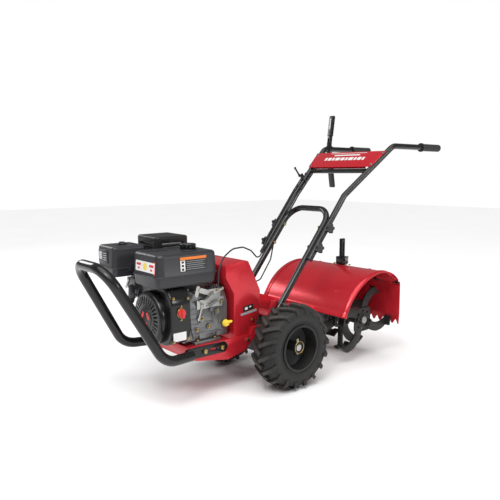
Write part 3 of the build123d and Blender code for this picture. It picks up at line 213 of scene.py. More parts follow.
    def _bump(self, tree: NodeTree, place: NodeSocket) -> NodeSocket:
        """Make the fine relief that belongs to the finish's grain."""
        if self.grain is Grain.PEBBLED:
            cells = tree.nodes.new("ShaderNodeTexVoronoi")
            cells.inputs["Scale"].default_value = self.grain_scale
            tree.links.new(place, cells.inputs["Vector"])
            height = cells.outputs["Distance"]
        elif self.grain is Grain.BRUSHED:
            turn = tree.nodes.new("ShaderNodeMapping")
            turn.inputs["Scale"].default_value = (1.0, 0.06, 1.0)
            tree.links.new(place, turn.inputs["Vector"])
            height = self._noise(tree, turn.outputs["Vector"], self.grain_scale, 4.0)
        else:
            detail = 10.0 if self.grain is Grain.SANDY else 2.0
            height = self._noise(tree, place, self.grain_scale, detail)
        bump = tree.nodes.new("ShaderNodeBump")
        bump.inputs["Strength"].default_value = self.relief
        bump.inputs["Distance"].default_value = 0.0006
        tree.links.new(height, bump.inputs["Height"])
        return bump.outputs["Normal"]


RED_PAINT = Finish("red_paint", (0.29, 0.002, 0.004), (0.22, 0.001, 0.003), (0.20, 0.32), grain_scale=260,
                   relief=0.06, coat=0.25, specular=0.35)
BLACK_ENAMEL = Finish("black_enamel", (0.006, 0.006, 0.0065), (0.010, 0.010, 0.0105),
                      (0.18, 0.30), grain_scale=300,
                      relief=0.05, coat=0.2, dust=0.01, specular=0.32)
BLACK_PLASTIC = Finish("black_plastic", (0.008, 0.008, 0.0085), (0.014, 0.014, 0.015), (0.36, 0.50),
                       grain=Grain.PEBBLED, grain_scale=1400, relief=0.14, dust=0.02, specular=0.3)
GLOSS_PLASTIC = Finish("gloss_black_plastic", (0.007, 0.007, 0.0075), (0.011, 0.011, 0.0115), (0.20, 0.32),
                       grain_scale=400, relief=0.05, coat=0.15, dust=0.01, specular=0.32)
SATIN_BLACK = Finish("satin_black_steel", (0.009, 0.009, 0.009), (0.016, 0.0155, 0.015), (0.36, 0.52),
                     grain=Grain.SANDY, grain_scale=900, relief=0.18, dust=0.03, specular=0.3)
CAST_ALLOY = Finish("cast_alloy", (0.22, 0.223, 0.227), (0.15, 0.153, 0.157), (0.36, 0.54), metallic=0.85,
                    grain=Grain.SANDY, grain_scale=520, relief=0.5, dust=0.10)
CAST_IRON = Finish("grey_cast_case", (0.13, 0.133, 0.137), (0.09, 0.093, 0.097), (0.45, 0.62), metallic=0.4,
                   grain=Grain.SANDY, grain_scale=380, relief=0.7, dust=0.10)
ZINC = Finish("zinc_plate", (0.46, 0.455, 0.43), (0.34, 0.34, 0.33), (0.22, 0.38), metallic=1.0,
              grain=Grain.BRUSHED, grain_scale=900, relief=0.12)
YELLOW_ZINC = Finish("yellow_zinc", (0.42, 0.28, 0.09), (0.36, 0.31, 0.18), (0.25, 0.4), metallic=1.0,
                     grain=Grain.BRUSHED, grain_scale=900, relief=0.12)
BARE_STEEL = Finish("turned_steel", (0.40, 0.40, 0.40), (0.28, 0.28, 0.28), (0.28, 0.42), metallic=1.0,
                    grain=Grain.BRUSHED, grain_scale=1100, relief=0.2)
TYRE_RUBBER = Finish("tyre_rubber", (0.020, 0.020, 0.021), (0.034, 0.033, 0.032), (0.62, 0.8),
                     grain=Grain.SANDY, grain_scale=700, relief=0.35, dust=0.5, specular=0.35)
GRIP_RUBBER = Finish("grip_rubber", (0.008, 0.008, 0.0085), (0.013, 0.013, 0.013), (0.48, 0.62),
                     grain=Grain.PEBBLED, grain_scale=900, relief=0.25, dust=0.03)
BELT_RUBBER = Finish("belt_rubber", (0.03, 0.03, 0.032), (0.05, 0.05, 0.05), (0.6, 0.75), grain=Grain.SANDY,
                     grain_scale=800, relief=0.3)
YELLOW_PLASTIC = Finish("yellow_plastic", (0.72, 0.46, 0.03), (0.66, 0.40, 0.025), (0.35, 0.5),
                        grain=Grain.PEBBLED, grain_scale=1200, relief=0.12)
RED_PLASTIC = Finish("red_plastic", (0.50, 0.015, 0.015), (0.42, 0.012, 0.012), (0.3, 0.42),
                     grain=Grain.PEBBLED, grain_scale=1200, relief=0.12)


def vinyl(name: str, base: tuple[float, float, float], shade: tuple[float, float, float],
          rough: tuple[float, float] = (0.25, 0.36), coat: float = 0.3) -> Finish:
    """Describe a smooth printed sticker film of one colour."""
    return Finish(name, base, shade, rough, grain_scale=300, relief=0.05, coat=coat)


WHITE_VINYL = vinyl("white_vinyl", (0.78, 0.78, 0.77), (0.70, 0.70, 0.69))
ORANGE_VINYL = vinyl("orange_vinyl", (0.80, 0.20, 0.02), (0.74, 0.17, 0.02))
YELLOW_VINYL = vinyl("yellow_vinyl", (0.82, 0.60, 0.04), (0.78, 0.56, 0.04))
GREY_VINYL = vinyl("grey_vinyl", (0.30, 0.31, 0.32), (0.26, 0.27, 0.28), (0.3, 0.42), 0.2)
BLACK_VINYL = vinyl("black_vinyl", (0.012, 0.012, 0.012), (0.016, 0.016, 0.016))
FLOOR = Finish("studio_floor", (0.97, 0.97, 0.97), (0.96, 0.96, 0.96), (0.55, 0.65),
               grain_scale=60, relief=0.02,
               patch_scale=1.5)


@dataclass(frozen=True)
class TyreFinish(Finish):
    """Rubber that is paler and drier on the lug tips than in the valleys.

    Attributes:
        centre: axle line's place along Y and Z.
        tread: radius where the lugs begin.
        tip: radius of the lug tips.
    """

    centre: tuple[float, float] = (0.0, 0.0)
    tread: float = 0.150
    tip: float = 0.165

    def material(self) -> bpy.types.Material:
        """Build the rubber and lay the worn colour over its tips.

        Returns:
            The Blender material with its node tree.
        """
        known = bpy.data.materials.get(self.name)
        if known is not None:
            return known
        made = super().material()
        tree = made.node_tree
        shader = tree.nodes["Principled BSDF"]
        under = shader.inputs["Base Color"].links[0].from_socket
        place = tree.nodes.new("ShaderNodeTexCoord").outputs["Object"]
        shift = tree.nodes.new("ShaderNodeVectorMath")
        shift.operation = "SUBTRACT"
        shift.inputs[1].default_value = (0.0, *self.centre)
        tree.links.new(place, shift.inputs[0])
        flat = tree.nodes.new("ShaderNodeVectorMath")
        flat.operation = "MULTIPLY"
        flat.inputs[1].default_value = (0.0, 1.0, 1.0)
        tree.links.new(shift.outputs[0], flat.inputs[0])
        reach = tree.nodes.new("ShaderNodeVectorMath")
        reach.operation = "LENGTH"
        tree.links.new(flat.outputs[0], reach.inputs[0])
        span = tree.nodes.new("ShaderNodeMapRange")
        span.inputs["From Min"].default_value = self.tread + 0.004
        span.inputs["From Max"].default_value = self.tip
        span.inputs["To Max"].default_value = 0.75
        tree.links.new(reach.outputs["Value"], span.inputs["Value"])
        speck = self._noise(tree, place, 90.0, 8.0)
        share = self._maths(tree, "MULTIPLY", span.outputs["Result"], speck)
        tree.links.new(self._cover(tree, share, under, (0.10, 0.092, 0.082)), shader.inputs["Base Color"])
        return made


TREAD_RUBBER = TyreFinish("tread_rubber", (0.010, 0.010, 0.0105), (0.018, 0.0175, 0.017), (0.52, 0.72),
                          grain=Grain.SANDY, grain_scale=700, relief=0.35, dust=0.14, specular=0.35,
                          centre=(-0.1125, 0.165))

NODES_BY_FINISH: tuple[tuple[Finish, tuple[str, ...]], ...] = (
    (RED_PAINT, ("chassis_frame", "belt_cover", "tine_hood", "hood_flap", "cross_panel")),
    (BLACK_ENAMEL, ("bumper_tube", "bumper_brackets", "handle_legs", "left_bar", "right_bar", "cross_tube",
                    "lever_mounts", "depth_stake", "stake_clevis")),
    (GLOSS_PLASTIC, ("clutch_lever", "reverse_lever", "blower_housing", "recoil_cover", "fuel_cap")),
    (SATIN_BLACK, ("left_rim", "right_rim", "left_tines", "right_tines", "hood_hinge", "muffler_guard")),
    (TREAD_RUBBER, ("left_tyre", "right_tyre")),
    (ZINC, ("wheel_axle", "stake_screw", "choke_lever", "fuel_valve_lever", "control_bracket",
            "throttle_arm", "governor_arm")),
    (BARE_STEEL, ("tine_shaft", "muffler", "crankshaft", "drive_pulley", "input_pulley", "input_shaft")),
    (CAST_IRON, ("gear_case",)),
    (CAST_ALLOY, ("crankcase", "cylinder", "flywheel", "carburettor")),
    (BLACK_PLASTIC, ("starter_reel", "starter_grip", "fuel_tank", "air_cleaner", "knob_left_lower",
                     "knob_left_upper", "knob_right_lower", "knob_right_upper", "throttle_lever")),
    (RED_PLASTIC, ("engine_switch",)),
    (YELLOW_PLASTIC, ("dipstick",)),
    (BELT_RUBBER, ("drive_belt",)),
    (GRIP_RUBBER, ("handle_grips", "control_cables")),
    (YELLOW_ZINC, ("fasteners",)),
)
NODE_FINISHES: dict[str, Finish] = {node: finish for finish, nodes in NODES_BY_FINISH for node in nodes}


# ============================================================================ mesh helpers
def new_piece(name: str, mesh_maker: BMesh, finish: Finish, body: str) -> bpy.types.Object:
    """Turn a finished bmesh into a piece that rides on a body.

    Args:
        name: object name.
        mesh_maker: the bmesh, freed here.
        finish: its surface.
        body: name of the body it moves with.

    Returns:
        The new object.
    """
    mesh = bpy.data.meshes.new(name)
    mesh_maker.to_mesh(mesh)
    mesh_maker.free()
    mesh.shade_smooth()
    mesh.set_sharp_from_angle(angle=radians(35))
    piece = bpy.data.objects.new(name, mesh)
    bpy.context.scene.collection.objects.link(piece)
    mesh.materials.append(finish.material())
    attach(piece, body)
    return piece


def frame_matrix(origin: Vector, along: Vector, across: Vector) -> Matrix:
    """Build a placing matrix whose Z is along and whose X is as near across as it can be.

    Args:
        origin: where the local origin goes.
        along: direction of local Z.
        across: wished direction of local X.

    Returns:
        A 4 by 4 matrix.
    """
    z = along.normalized()
    y = z.cross(across).normalized()
    x = y.cross(z)
    return Matrix.Translation(origin) @ Matrix((x, y, z)).transposed().to_4x4()


def cylinder(bm: BMesh, start: Vector, end: Vector, radius: float, sides: int = 24,
             top: float | None = None) -> None:
    """Add a capped round bar, or a cone when top is given, between two points."""
    run = end - start
    bmesh.ops.create_cone(bm, cap_ends=True, segments=sides, radius1=radius,
                          radius2=radius if top is None else top, depth=run.length,
                          matrix=frame_matrix(start + run / 2, run, side_of(run)))


def side_of(along: Vector) -> Vector:
    """Pick a direction that is well away from a given one."""
    return Vector((1, 0, 0)) if abs(along.normalized().x) < 0.9 else Vector((0, 1, 0))


def break_edges(bm: BMesh, edges: list[BMEdge], width: float, segments: int = 2) -> None:
    """Round a set of edges with a bevel of equal width."""
    bmesh.ops.bevel(bm, geom=edges, offset=width, offset_type="OFFSET", affect="EDGES", segments=segments,
                    profile=0.5, material=-1, clamp_overlap=True)


def slab(bm: BMesh, place: Matrix, size: tuple[float, float, float], rounding: float) -> None:
    """Add a box with rounded edges, placed by a matrix."""
    made = bmesh.ops.create_cube(bm, size=1.0, matrix=place @ Matrix.Diagonal((*size, 1.0)))
    break_edges(bm, list({edge for vert in made["verts"] for edge in vert.link_edges}), rounding)


def ring(bm: BMesh, place: Matrix, radius: float, wire: float, turns: int = 48) -> None:
    """Spin a wire's round section into a closed ring about the placing matrix's Z axis."""
    upright = Matrix.Translation((radius, 0, 0)) @ Matrix.Rotation(pi / 2, 4, "X")
    made = bmesh.ops.create_circle(bm, cap_ends=False, segments=12, radius=wire, matrix=upright)
    edges = list({edge for vert in made["verts"] for edge in vert.link_edges})
    bmesh.ops.spin(bm, geom=made["verts"] + edges, cent=(0, 0, 0), axis=(0, 0, 1), angle=2 * pi, steps=turns,
                   use_merge=True)
    bmesh.ops.remove_doubles(bm, verts=bm.verts[:], dist=1e-6)
    bmesh.ops.recalc_face_normals(bm, faces=bm.faces[:])
    bmesh.ops.transform(bm, matrix=place, verts=bm.verts[:])


def wire_piece(name: str, points: list[Vector], radius: float, finish: Finish, body: str) -> bpy.types.Object:
    """Make a smooth round wire through points as a mesh piece.

    Args:
        name: object name.
        points: control points, in metres.
        radius: wire radius.
        finish: its surface.
        body: name of the body it moves with.

    Returns:
        The new object.
    """
    curve = bpy.data.curves.new(name + "_line", "CURVE")
    curve.dimensions = "3D"
    curve.bevel_depth = radius
    curve.bevel_resolution = 3
    curve.use_fill_caps = True
    curve.resolution_u = 8
    line = curve.splines.new("NURBS")
    line.points.add(len(points) - 1)
    for spot, point in zip(line.points, points):
        spot.co = (*point, 1.0)
    line.order_u = 3
    line.use_endpoint_u = True
    holder = bpy.data.objects.new(name + "_line", curve)
    bpy.context.scene.collection.objects.link(holder)
    mesh = bpy.data.meshes.new_from_object(holder)
    bpy.data.objects.remove(holder)
    bm = bmesh.new()
    bm.from_mesh(mesh)
    bpy.data.meshes.remove(mesh)
    bmesh.ops.remove_doubles(bm, verts=bm.verts[:], dist=1e-6)
    bmesh.ops.recalc_face_normals(bm, faces=bm.faces[:])
    return new_piece(name, bm, finish, body)


def plate(bm: BMesh, place: Matrix, size: tuple[float, float, float], corner: float) -> None:
    """Add a thin plate with rounded corners, standing on the placing matrix's XY plane.

    Args:
        bm: bmesh to add to.
        place: matrix whose Z leaves the surface.
        size: width, height and thickness.
        corner: corner radius.
    """
    stand = place @ Matrix.Translation((0, 0, size[2] / 2)) @ Matrix.Diagonal((*size, 1.0))
    made = bmesh.ops.create_cube(bm, size=1.0, matrix=stand)
    normal = place.to_3x3() @ Vector((0, 0, 1))
    uprights = []
    for edge in {edge for vert in made["verts"] for edge in vert.link_edges}:
        run = (edge.verts[1].co - edge.verts[0].co).normalized()
        if abs(run.dot(normal)) > 0.99:
            uprights.append(edge)
    break_edges(bm, uprights, corner, segments=5)


def hex_bolt(bm: BMesh, foot: Vector, along: Vector, radius: float, height: float,
             washer: bool = True) -> None:
    """Add a hexagon bolt head, with a washer under it, standing on a surface."""
    up = along.normalized()
    across = Vector((0, 0, 1)) if abs(up.z) < 0.9 else Vector((1, 0, 0))
    base = foot
    if washer:
        cylinder(bm, foot, foot + up * 0.0012, radius * 1.5, 24)
        base = foot + up * 0.0012
    made = bmesh.ops.create_cone(bm, cap_ends=True, segments=6, radius1=radius * 1.15, radius2=radius * 1.15,
                                 depth=height, matrix=frame_matrix(base + up * height / 2, up, across))
    break_edges(bm, list({edge for vert in made["verts"] for edge in vert.link_edges}), radius * 0.12)


def coil(bm: BMesh, start: Vector, end: Vector, radius: float, wire: float, turns: int) -> None:
    """Add a helical spring between two points by a spin that also climbs."""
    own = bmesh.new()
    upright = Matrix.Translation((radius, 0, 0)) @ Matrix.Rotation(pi / 2, 4, "X")
    made = bmesh.ops.create_circle(own, cap_ends=True, segments=8, radius=wire, matrix=upright)
    steps = turns * 14
    run = end - start
    faces = list({face for vert in made["verts"] for face in vert.link_faces})
    bmesh.ops.spin(own, geom=faces, cent=(0, 0, 0), axis=(0, 0, 1), dvec=(0, 0, run.length / steps),
                   angle=2 * pi * turns, steps=steps)
    bmesh.ops.recalc_face_normals(own, faces=own.faces[:])
    bmesh.ops.transform(own, matrix=frame_matrix(start, run, side_of(run)), verts=own.verts[:])
    join(bm, own)


def join(bm: BMesh, other: BMesh) -> None:
    """Move another bmesh's contents into this one and free it."""
    carrier = bpy.data.meshes.new("carrier")
    other.to_mesh(carrier)
    other.free()
    bm.from_mesh(carrier)
    bpy.data.meshes.remove(carrier)


def add_ring(bm: BMesh, centre: Vector, along: Vector, radius: float, wire: float,
             turns: int = 48) -> None:
    """Add a closed round ring about a line."""
    own = bmesh.new()
    ring(own, frame_matrix(centre, along, side_of(along)), radius, wire, turns)
    join(bm, own)


def dome(bm: BMesh, centre: Vector, along: Vector, radius: float, height: float) -> None:
    """Add a flattened ball half sunk in a surface."""
    place = frame_matrix(centre, along, side_of(along)) @ Matrix.Diagonal((radius, radius, height, 1.0))
    bmesh.ops.create_uvsphere(bm, u_segments=20, v_segments=12, radius=1.0, matrix=place)


@dataclass(frozen=True)
class Site:
    """Turns the machine's working measures, in millimetres from the wheel axle, into places in metres.

    Attributes:
        axle_y: place of the wheel axle along Y, in metres.
    """

    axle_y: float

    def at(self, x: float, y: float, z: float) -> Vector:
        """Place in metres of a point given in millimetres from the axle and the ground."""
        return Vector((x * MM, self.axle_y + y * MM, z * MM))

    def face(self, spot: tuple[float, float, float], normal: tuple[float, float, float],
             right: tuple[float, float, float]) -> Matrix:
        """Matrix on a surface: Z is the normal and X runs towards right."""
        return frame_matrix(self.at(*spot), Vector(normal), Vector(right))


@dataclass
class SoftenedNodes:
    """Copies of the CAD nodes with broken edges, so that light catches them as on real metal.

    Attributes:
        nodes: the frame's CAD objects by name.
        slots: material slot of each node, not used.
        bodies: body of each node.
        width: edge break in metres.
        plain: nodes that keep their own mesh.
        swept: tubes and bent sheets that are only smoothed.
    """

    nodes: dict[str, bpy.types.Object]
    slots: dict[str, str]
    bodies: dict[str, str]
    width: float = 0.0009
    plain: tuple[str, ...] = ("left_tyre", "right_tyre", "control_cables", "cylinder", "starter_reel",
                              "flywheel", "drive_belt", "crankshaft", "input_shaft")
    swept: tuple[str, ...] = ("bumper_tube", "handle_legs", "left_bar", "right_bar", "cross_tube",
                              "handle_grips", "tine_hood")

    def dress(self) -> None:
        """Give each node its finish, and replace most of them by softened copies."""
        for name, node in self.nodes.items():
            finish = NODE_FINISHES[name]
            if name in self.plain:
                node.data.materials.clear()
                node.data.materials.append(finish.material())
                LOG.info("%s keeps its own mesh", name)
                continue
            self._soften(name, node, finish)

    def _soften(self, name: str, node: bpy.types.Object, finish: Finish) -> None:
        """Bevel a copy of one node's sharp edges and let it stand for the node."""
        bm = bmesh.new()
        bm.from_mesh(node.data)
        bmesh.ops.remove_doubles(bm, verts=bm.verts[:], dist=2e-6)
        if name == "tine_hood":
            bmesh.ops.dissolve_limit(bm, angle_limit=radians(2.5), verts=bm.verts[:], edges=bm.edges[:])
        if name not in self.swept:
            bmesh.ops.dissolve_limit(bm, angle_limit=radians(0.4), verts=bm.verts[:], edges=bm.edges[:])
            sharp = [edge for edge in bm.edges
                     if len(edge.link_faces) == 2 and edge.calc_face_angle(0) > radians(32)]
            break_edges(bm, sharp, self.width)
        piece = new_piece(name + "_skin", bm, finish, self.bodies[name])
        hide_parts(name)
        LOG.info("%s softened: %d faces", name, len(piece.data.polygons))


@dataclass
class Studio:
    """Pale floor, soft lights and the camera.

    Attributes:
        axle_y: place of the wheel axle along Y.
        eye: camera place relative to the ground under the axle.
        turn: camera azimuth in degrees, from the machine's front towards its left.
        tip: downward pitch in degrees.
        lens: focal length in millimetres on a 36 mm sensor.
        sky: strength of the surroundings as a light.
    """

    axle_y: float
    eye: tuple[float, float, float] = (1.7238, -1.4796, 0.8138)
    turn: float = 50.0
    tip: float = 7.545
    lens: float = 40.88
    sky: float = 0.24

    def build(self) -> None:
        """Make the floor, the world, the lights and the camera."""
        bm = bmesh.new()
        bmesh.ops.create_grid(bm, x_segments=2, y_segments=2, size=12.0)
        mesh = bpy.data.meshes.new("floor")
        bm.to_mesh(mesh)
        bm.free()
        mesh.materials.append(FLOOR.material())
        floor = bpy.data.objects.new("floor", mesh)
        bpy.context.scene.collection.objects.link(floor)
        bpy.context.scene.view_settings.view_transform = "Standard"
        self._world()
        self._sun((0.7, -0.8, 2.6), 2.75)
        self._light("key", (1.6, -2.2, 3.2), 1.0, 40.0)
        self._light("fill", (3.6, 1.4, 1.8), 0.8, 30.0)
        self._light("side", (-3.4, -1.2, 2.2), 1.2, 36.0)
        self._camera()

    def _world(self) -> None:
        """White surroundings for the eye, and a dimmer sky for the light that falls on the machine."""
        world = bpy.data.worlds.new("studio")
        world.use_nodes = True
        tree = world.node_tree
        path = tree.nodes.new("ShaderNodeLightPath")
        strength = tree.nodes.new("ShaderNodeMapRange")
        strength.inputs["To Min"].default_value = self.sky
        strength.inputs["To Max"].default_value = 1.0
        tree.links.new(path.outputs["Is Camera Ray"], strength.inputs["Value"])
        tree.links.new(strength.outputs["Result"], tree.nodes["Background"].inputs["Strength"])
        tree.nodes["Background"].inputs["Color"].default_value = (1.0, 1.0, 1.0, 1)
        bpy.context.scene.world = world

    def _sun(self, place: tuple[float, float, float], strength: float) -> None:
        """Add one very soft sun, which lights the whole floor evenly."""
        data = bpy.data.lights.new("sun", "SUN")
        data.energy = strength
        data.angle = radians(70)
        lamp = bpy.data.objects.new("sun", data)
        lamp.rotation_euler = Vector(place).to_track_quat("Z", "Y").to_euler()
        bpy.context.scene.collection.objects.link(lamp)

    def _light(self, name: str, place: tuple[float, float, float], size: float, power: float) -> None:
        """Add one square soft light that faces the machine."""
        data = bpy.data.lights.new(name, "AREA")
        data.size = size
        data.energy = power
        lamp = bpy.data.objects.new(name, data)
        lamp.location = place
        aim = Vector((0, 0, 0.45)) - Vector(place)
        lamp.rotation_euler = aim.to_track_quat("-Z", "Y").to_euler()
        bpy.context.scene.collection.objects.link(lamp)

    def _camera(self) -> None:
        """Add the camera and make it the scene's."""
        data = bpy.data.cameras.new("camera")
        data.lens = self.lens
        data.sensor_width = 36.0
        camera = bpy.data.objects.new("camera", data)
        camera.location = (self.eye[0], self.axle_y + self.eye[1], self.eye[2])
        camera.rotation_euler = (radians(90 - self.tip), 0, radians(self.turn))
        bpy.context.scene.collection.objects.link(camera)
        bpy.context.scene.camera = camera


@dataclass
class TankDressing:
    """Stick-on panels, moulded ribs and a neck ring for the fuel tank.

    Attributes:
        site: measure of the machine.
        front: middle of the front panel.
        left: middle of the left panel.
    """

    site: Site
    front: tuple[float, float, float] = (12, -515.4, 500)
    left: tuple[float, float, float] = (97.6, -372, 508)

    def dress(self) -> None:
        """Build every part of the tank's dressing."""
        self._front_panel()
        self._left_panel()
        self._ribs()

    def _front_panel(self) -> None:
        """White panel with a red rim, a yellow middle and four red patches."""
        place = self.site.face(self.front, (0, -1, 0.07), (1, 0, 0))
        layers = ((RED_PLASTIC, (0, 0), (0.136, 0.046), 0.0003, 0.004),
                  (WHITE_VINYL, (0, 0), (0.128, 0.036), 0.0005, 0.003),
                  (YELLOW_VINYL, (0, 0), (0.026, 0.026), 0.0007, 0.012),
                  (RED_PLASTIC, (-0.043, 0.006), (0.030, 0.009), 0.0007, 0.004),
                  (RED_PLASTIC, (0.043, 0.006), (0.030, 0.009), 0.0007, 0.004),
                  (RED_PLASTIC, (-0.043, -0.008), (0.014, 0.007), 0.0007, 0.003),
                  (RED_PLASTIC, (0.043, -0.008), (0.014, 0.007), 0.0007, 0.003))
        self._stack("tank_front_panel", place, layers)

    def _left_panel(self) -> None:
        """Orange bar over a white strip and rows of thin grey bars."""
        place = self.site.face(self.left, (1, 0, 0.07), (0, 1, 0))
        layers = [(BLACK_VINYL, (0, 0), (0.112, 0.050), 0.0003, 0.003),
                  (ORANGE_VINYL, (0.0, 0.0195), (0.110, 0.0095), 0.0005, 0.001),
                  (WHITE_VINYL, (-0.045, -0.0055), (0.019, 0.037), 0.0005, 0.001)]
        for row in range(3):
            layers.append((BLACK_VINYL, (-0.045, 0.007 - row * 0.0125), (0.010, 0.008), 0.0007, 0.003))
        for row in range(5):
            layers.append((GREY_VINYL, (0.010 - 0.004 * (row % 2), 0.0085 - row * 0.0068),
                           (0.078 - 0.008 * (row % 2), 0.0017), 0.0005, 0.0008))
        self._stack("tank_left_panel", place, tuple(layers))

    @staticmethod
    def _stack(name: str, place: Matrix, layers: tuple) -> None:
        """Lay thin plates over one another, one piece for each finish."""
        grouped: dict[str, tuple[Finish, BMesh]] = {}
        for finish, spot, size, rise, corner in layers:
            bm = grouped.setdefault(finish.name, (finish, bmesh.new()))[1]
            plate(bm, place @ Matrix.Translation((*spot, 0)), (*size, rise), corner)
        for key, (finish, bm) in grouped.items():
            new_piece(f"{name}_{key}", bm, finish, "chassis")

    def _ribs(self) -> None:
        """Slanted ribs moulded across the tank's front shoulder, and a ring round the neck."""
        bm = bmesh.new()
        for step in range(6):
            y = -488 + step * 13
            rise = 546.2
            slab(bm, self.site.face((-34, y, rise), (0, 0, 1), (1, 0.25, 0)), (0.058, 0.0055, 0.004), 0.0015)
        add_ring(bm, self.site.at(20, -343, 547), Vector((0, 0, 1)), 0.034, 0.0022)
        new_piece("tank_ribs", bm, BLACK_PLASTIC, "chassis")


@dataclass
class RecoilDressing:
    """Hub disc, coloured ring, screws and rim bead of the recoil cover."""

    site: Site
    front: float = -510.0
    crank: float = 315.0

    def dress(self) -> None:
        """Build the recoil cover's dressing."""
        forward = Vector((0, -1, 0))
        bm = bmesh.new()
        hub = self.site.at(0, self.front, self.crank)
        cylinder(bm, hub - forward * 0.001, hub + forward * 0.0025, 0.040, 48, top=0.037)
        for turn in range(3):
            angle = radians(90 + 120 * turn)
            rim = hub + Vector((cos(angle) * 0.089, 0.022, sin(angle) * 0.089))
            cylinder(bm, rim, rim + forward * 0.006, 0.0085, 20)
        add_ring(bm, hub - forward * 0.0145, forward, 0.0925, 0.0024, 64)
        new_piece("recoil_hub", bm, GLOSS_PLASTIC, "chassis")
        red = bmesh.new()
        for turn in range(3):
            angle = radians(30 + 120 * turn)
            spot = hub + forward * 0.0025 + Vector((cos(angle) * 0.020, 0, sin(angle) * 0.020))
            upward = Vector((-sin(angle), 0, cos(angle)))
            plate(red, frame_matrix(spot, forward, upward), (0.026, 0.012, 0.0008), 0.004)
        new_piece("recoil_flashes", red, RED_PLASTIC, "chassis")
        brass = bmesh.new()
        for turn in range(3):
            angle = radians(90 + 120 * turn)
            rim = hub + Vector((cos(angle) * 0.089, 0.016, sin(angle) * 0.089))
            hex_bolt(brass, rim, forward, 0.0035, 0.004)
        new_piece("recoil_screws", brass, YELLOW_ZINC, "chassis")


@dataclass
class AirCleanerDressing:
    """Cover nut, clip and plain panel of the air cleaner."""

    site: Site

    def dress(self) -> None:
        """Build the air cleaner's dressing."""
        place = self.site.face((-211, -564.0, 516), (0, -1, 0), (1, 0, 0))
        pale = bmesh.new()
        plate(pale, place @ Matrix.Translation((-0.018, 0.004, 0)), (0.028, 0.030, 0.0005), 0.002)
        new_piece("air_cleaner_panel", pale, GREY_VINYL, "chassis")
        lines = bmesh.new()
        for row in range(4):
            plate(lines, place @ Matrix.Translation((-0.018, 0.013 - row * 0.007, 0.0005)),
                  (0.022 - 0.004 * (row % 2), 0.0025, 0.0004), 0.001)
            plate(lines, place @ Matrix.Translation((0.016, 0.013 - row * 0.008, 0)),
                  (0.024, 0.0014, 0.0005), 0.0006)
        new_piece("air_cleaner_lines", lines, WHITE_VINYL, "chassis")
        dark = bmesh.new()
        for step in range(4):
            slab(dark, self.site.face((-198, -452 - step * 22, 556.5), (0, 0, 1), (1, 0, 0)),
                 (0.080 if step in (0, 3) else 0.030, 0.006, 0.004), 0.0015)
        for side in (-1, 1):
            slab(dark, self.site.face((-198 + side * 64.5, -492, 478), (side, 0, 0), (0, 1, 0)),
                 (0.020, 0.030, 0.006), 0.002)
        add_ring(dark, self.site.at(-198, -492, 560), Vector((0, 0, 1)), 0.0135, 0.0025, 32)
        new_piece("air_cleaner_trim", dark, BLACK_PLASTIC, "chassis")


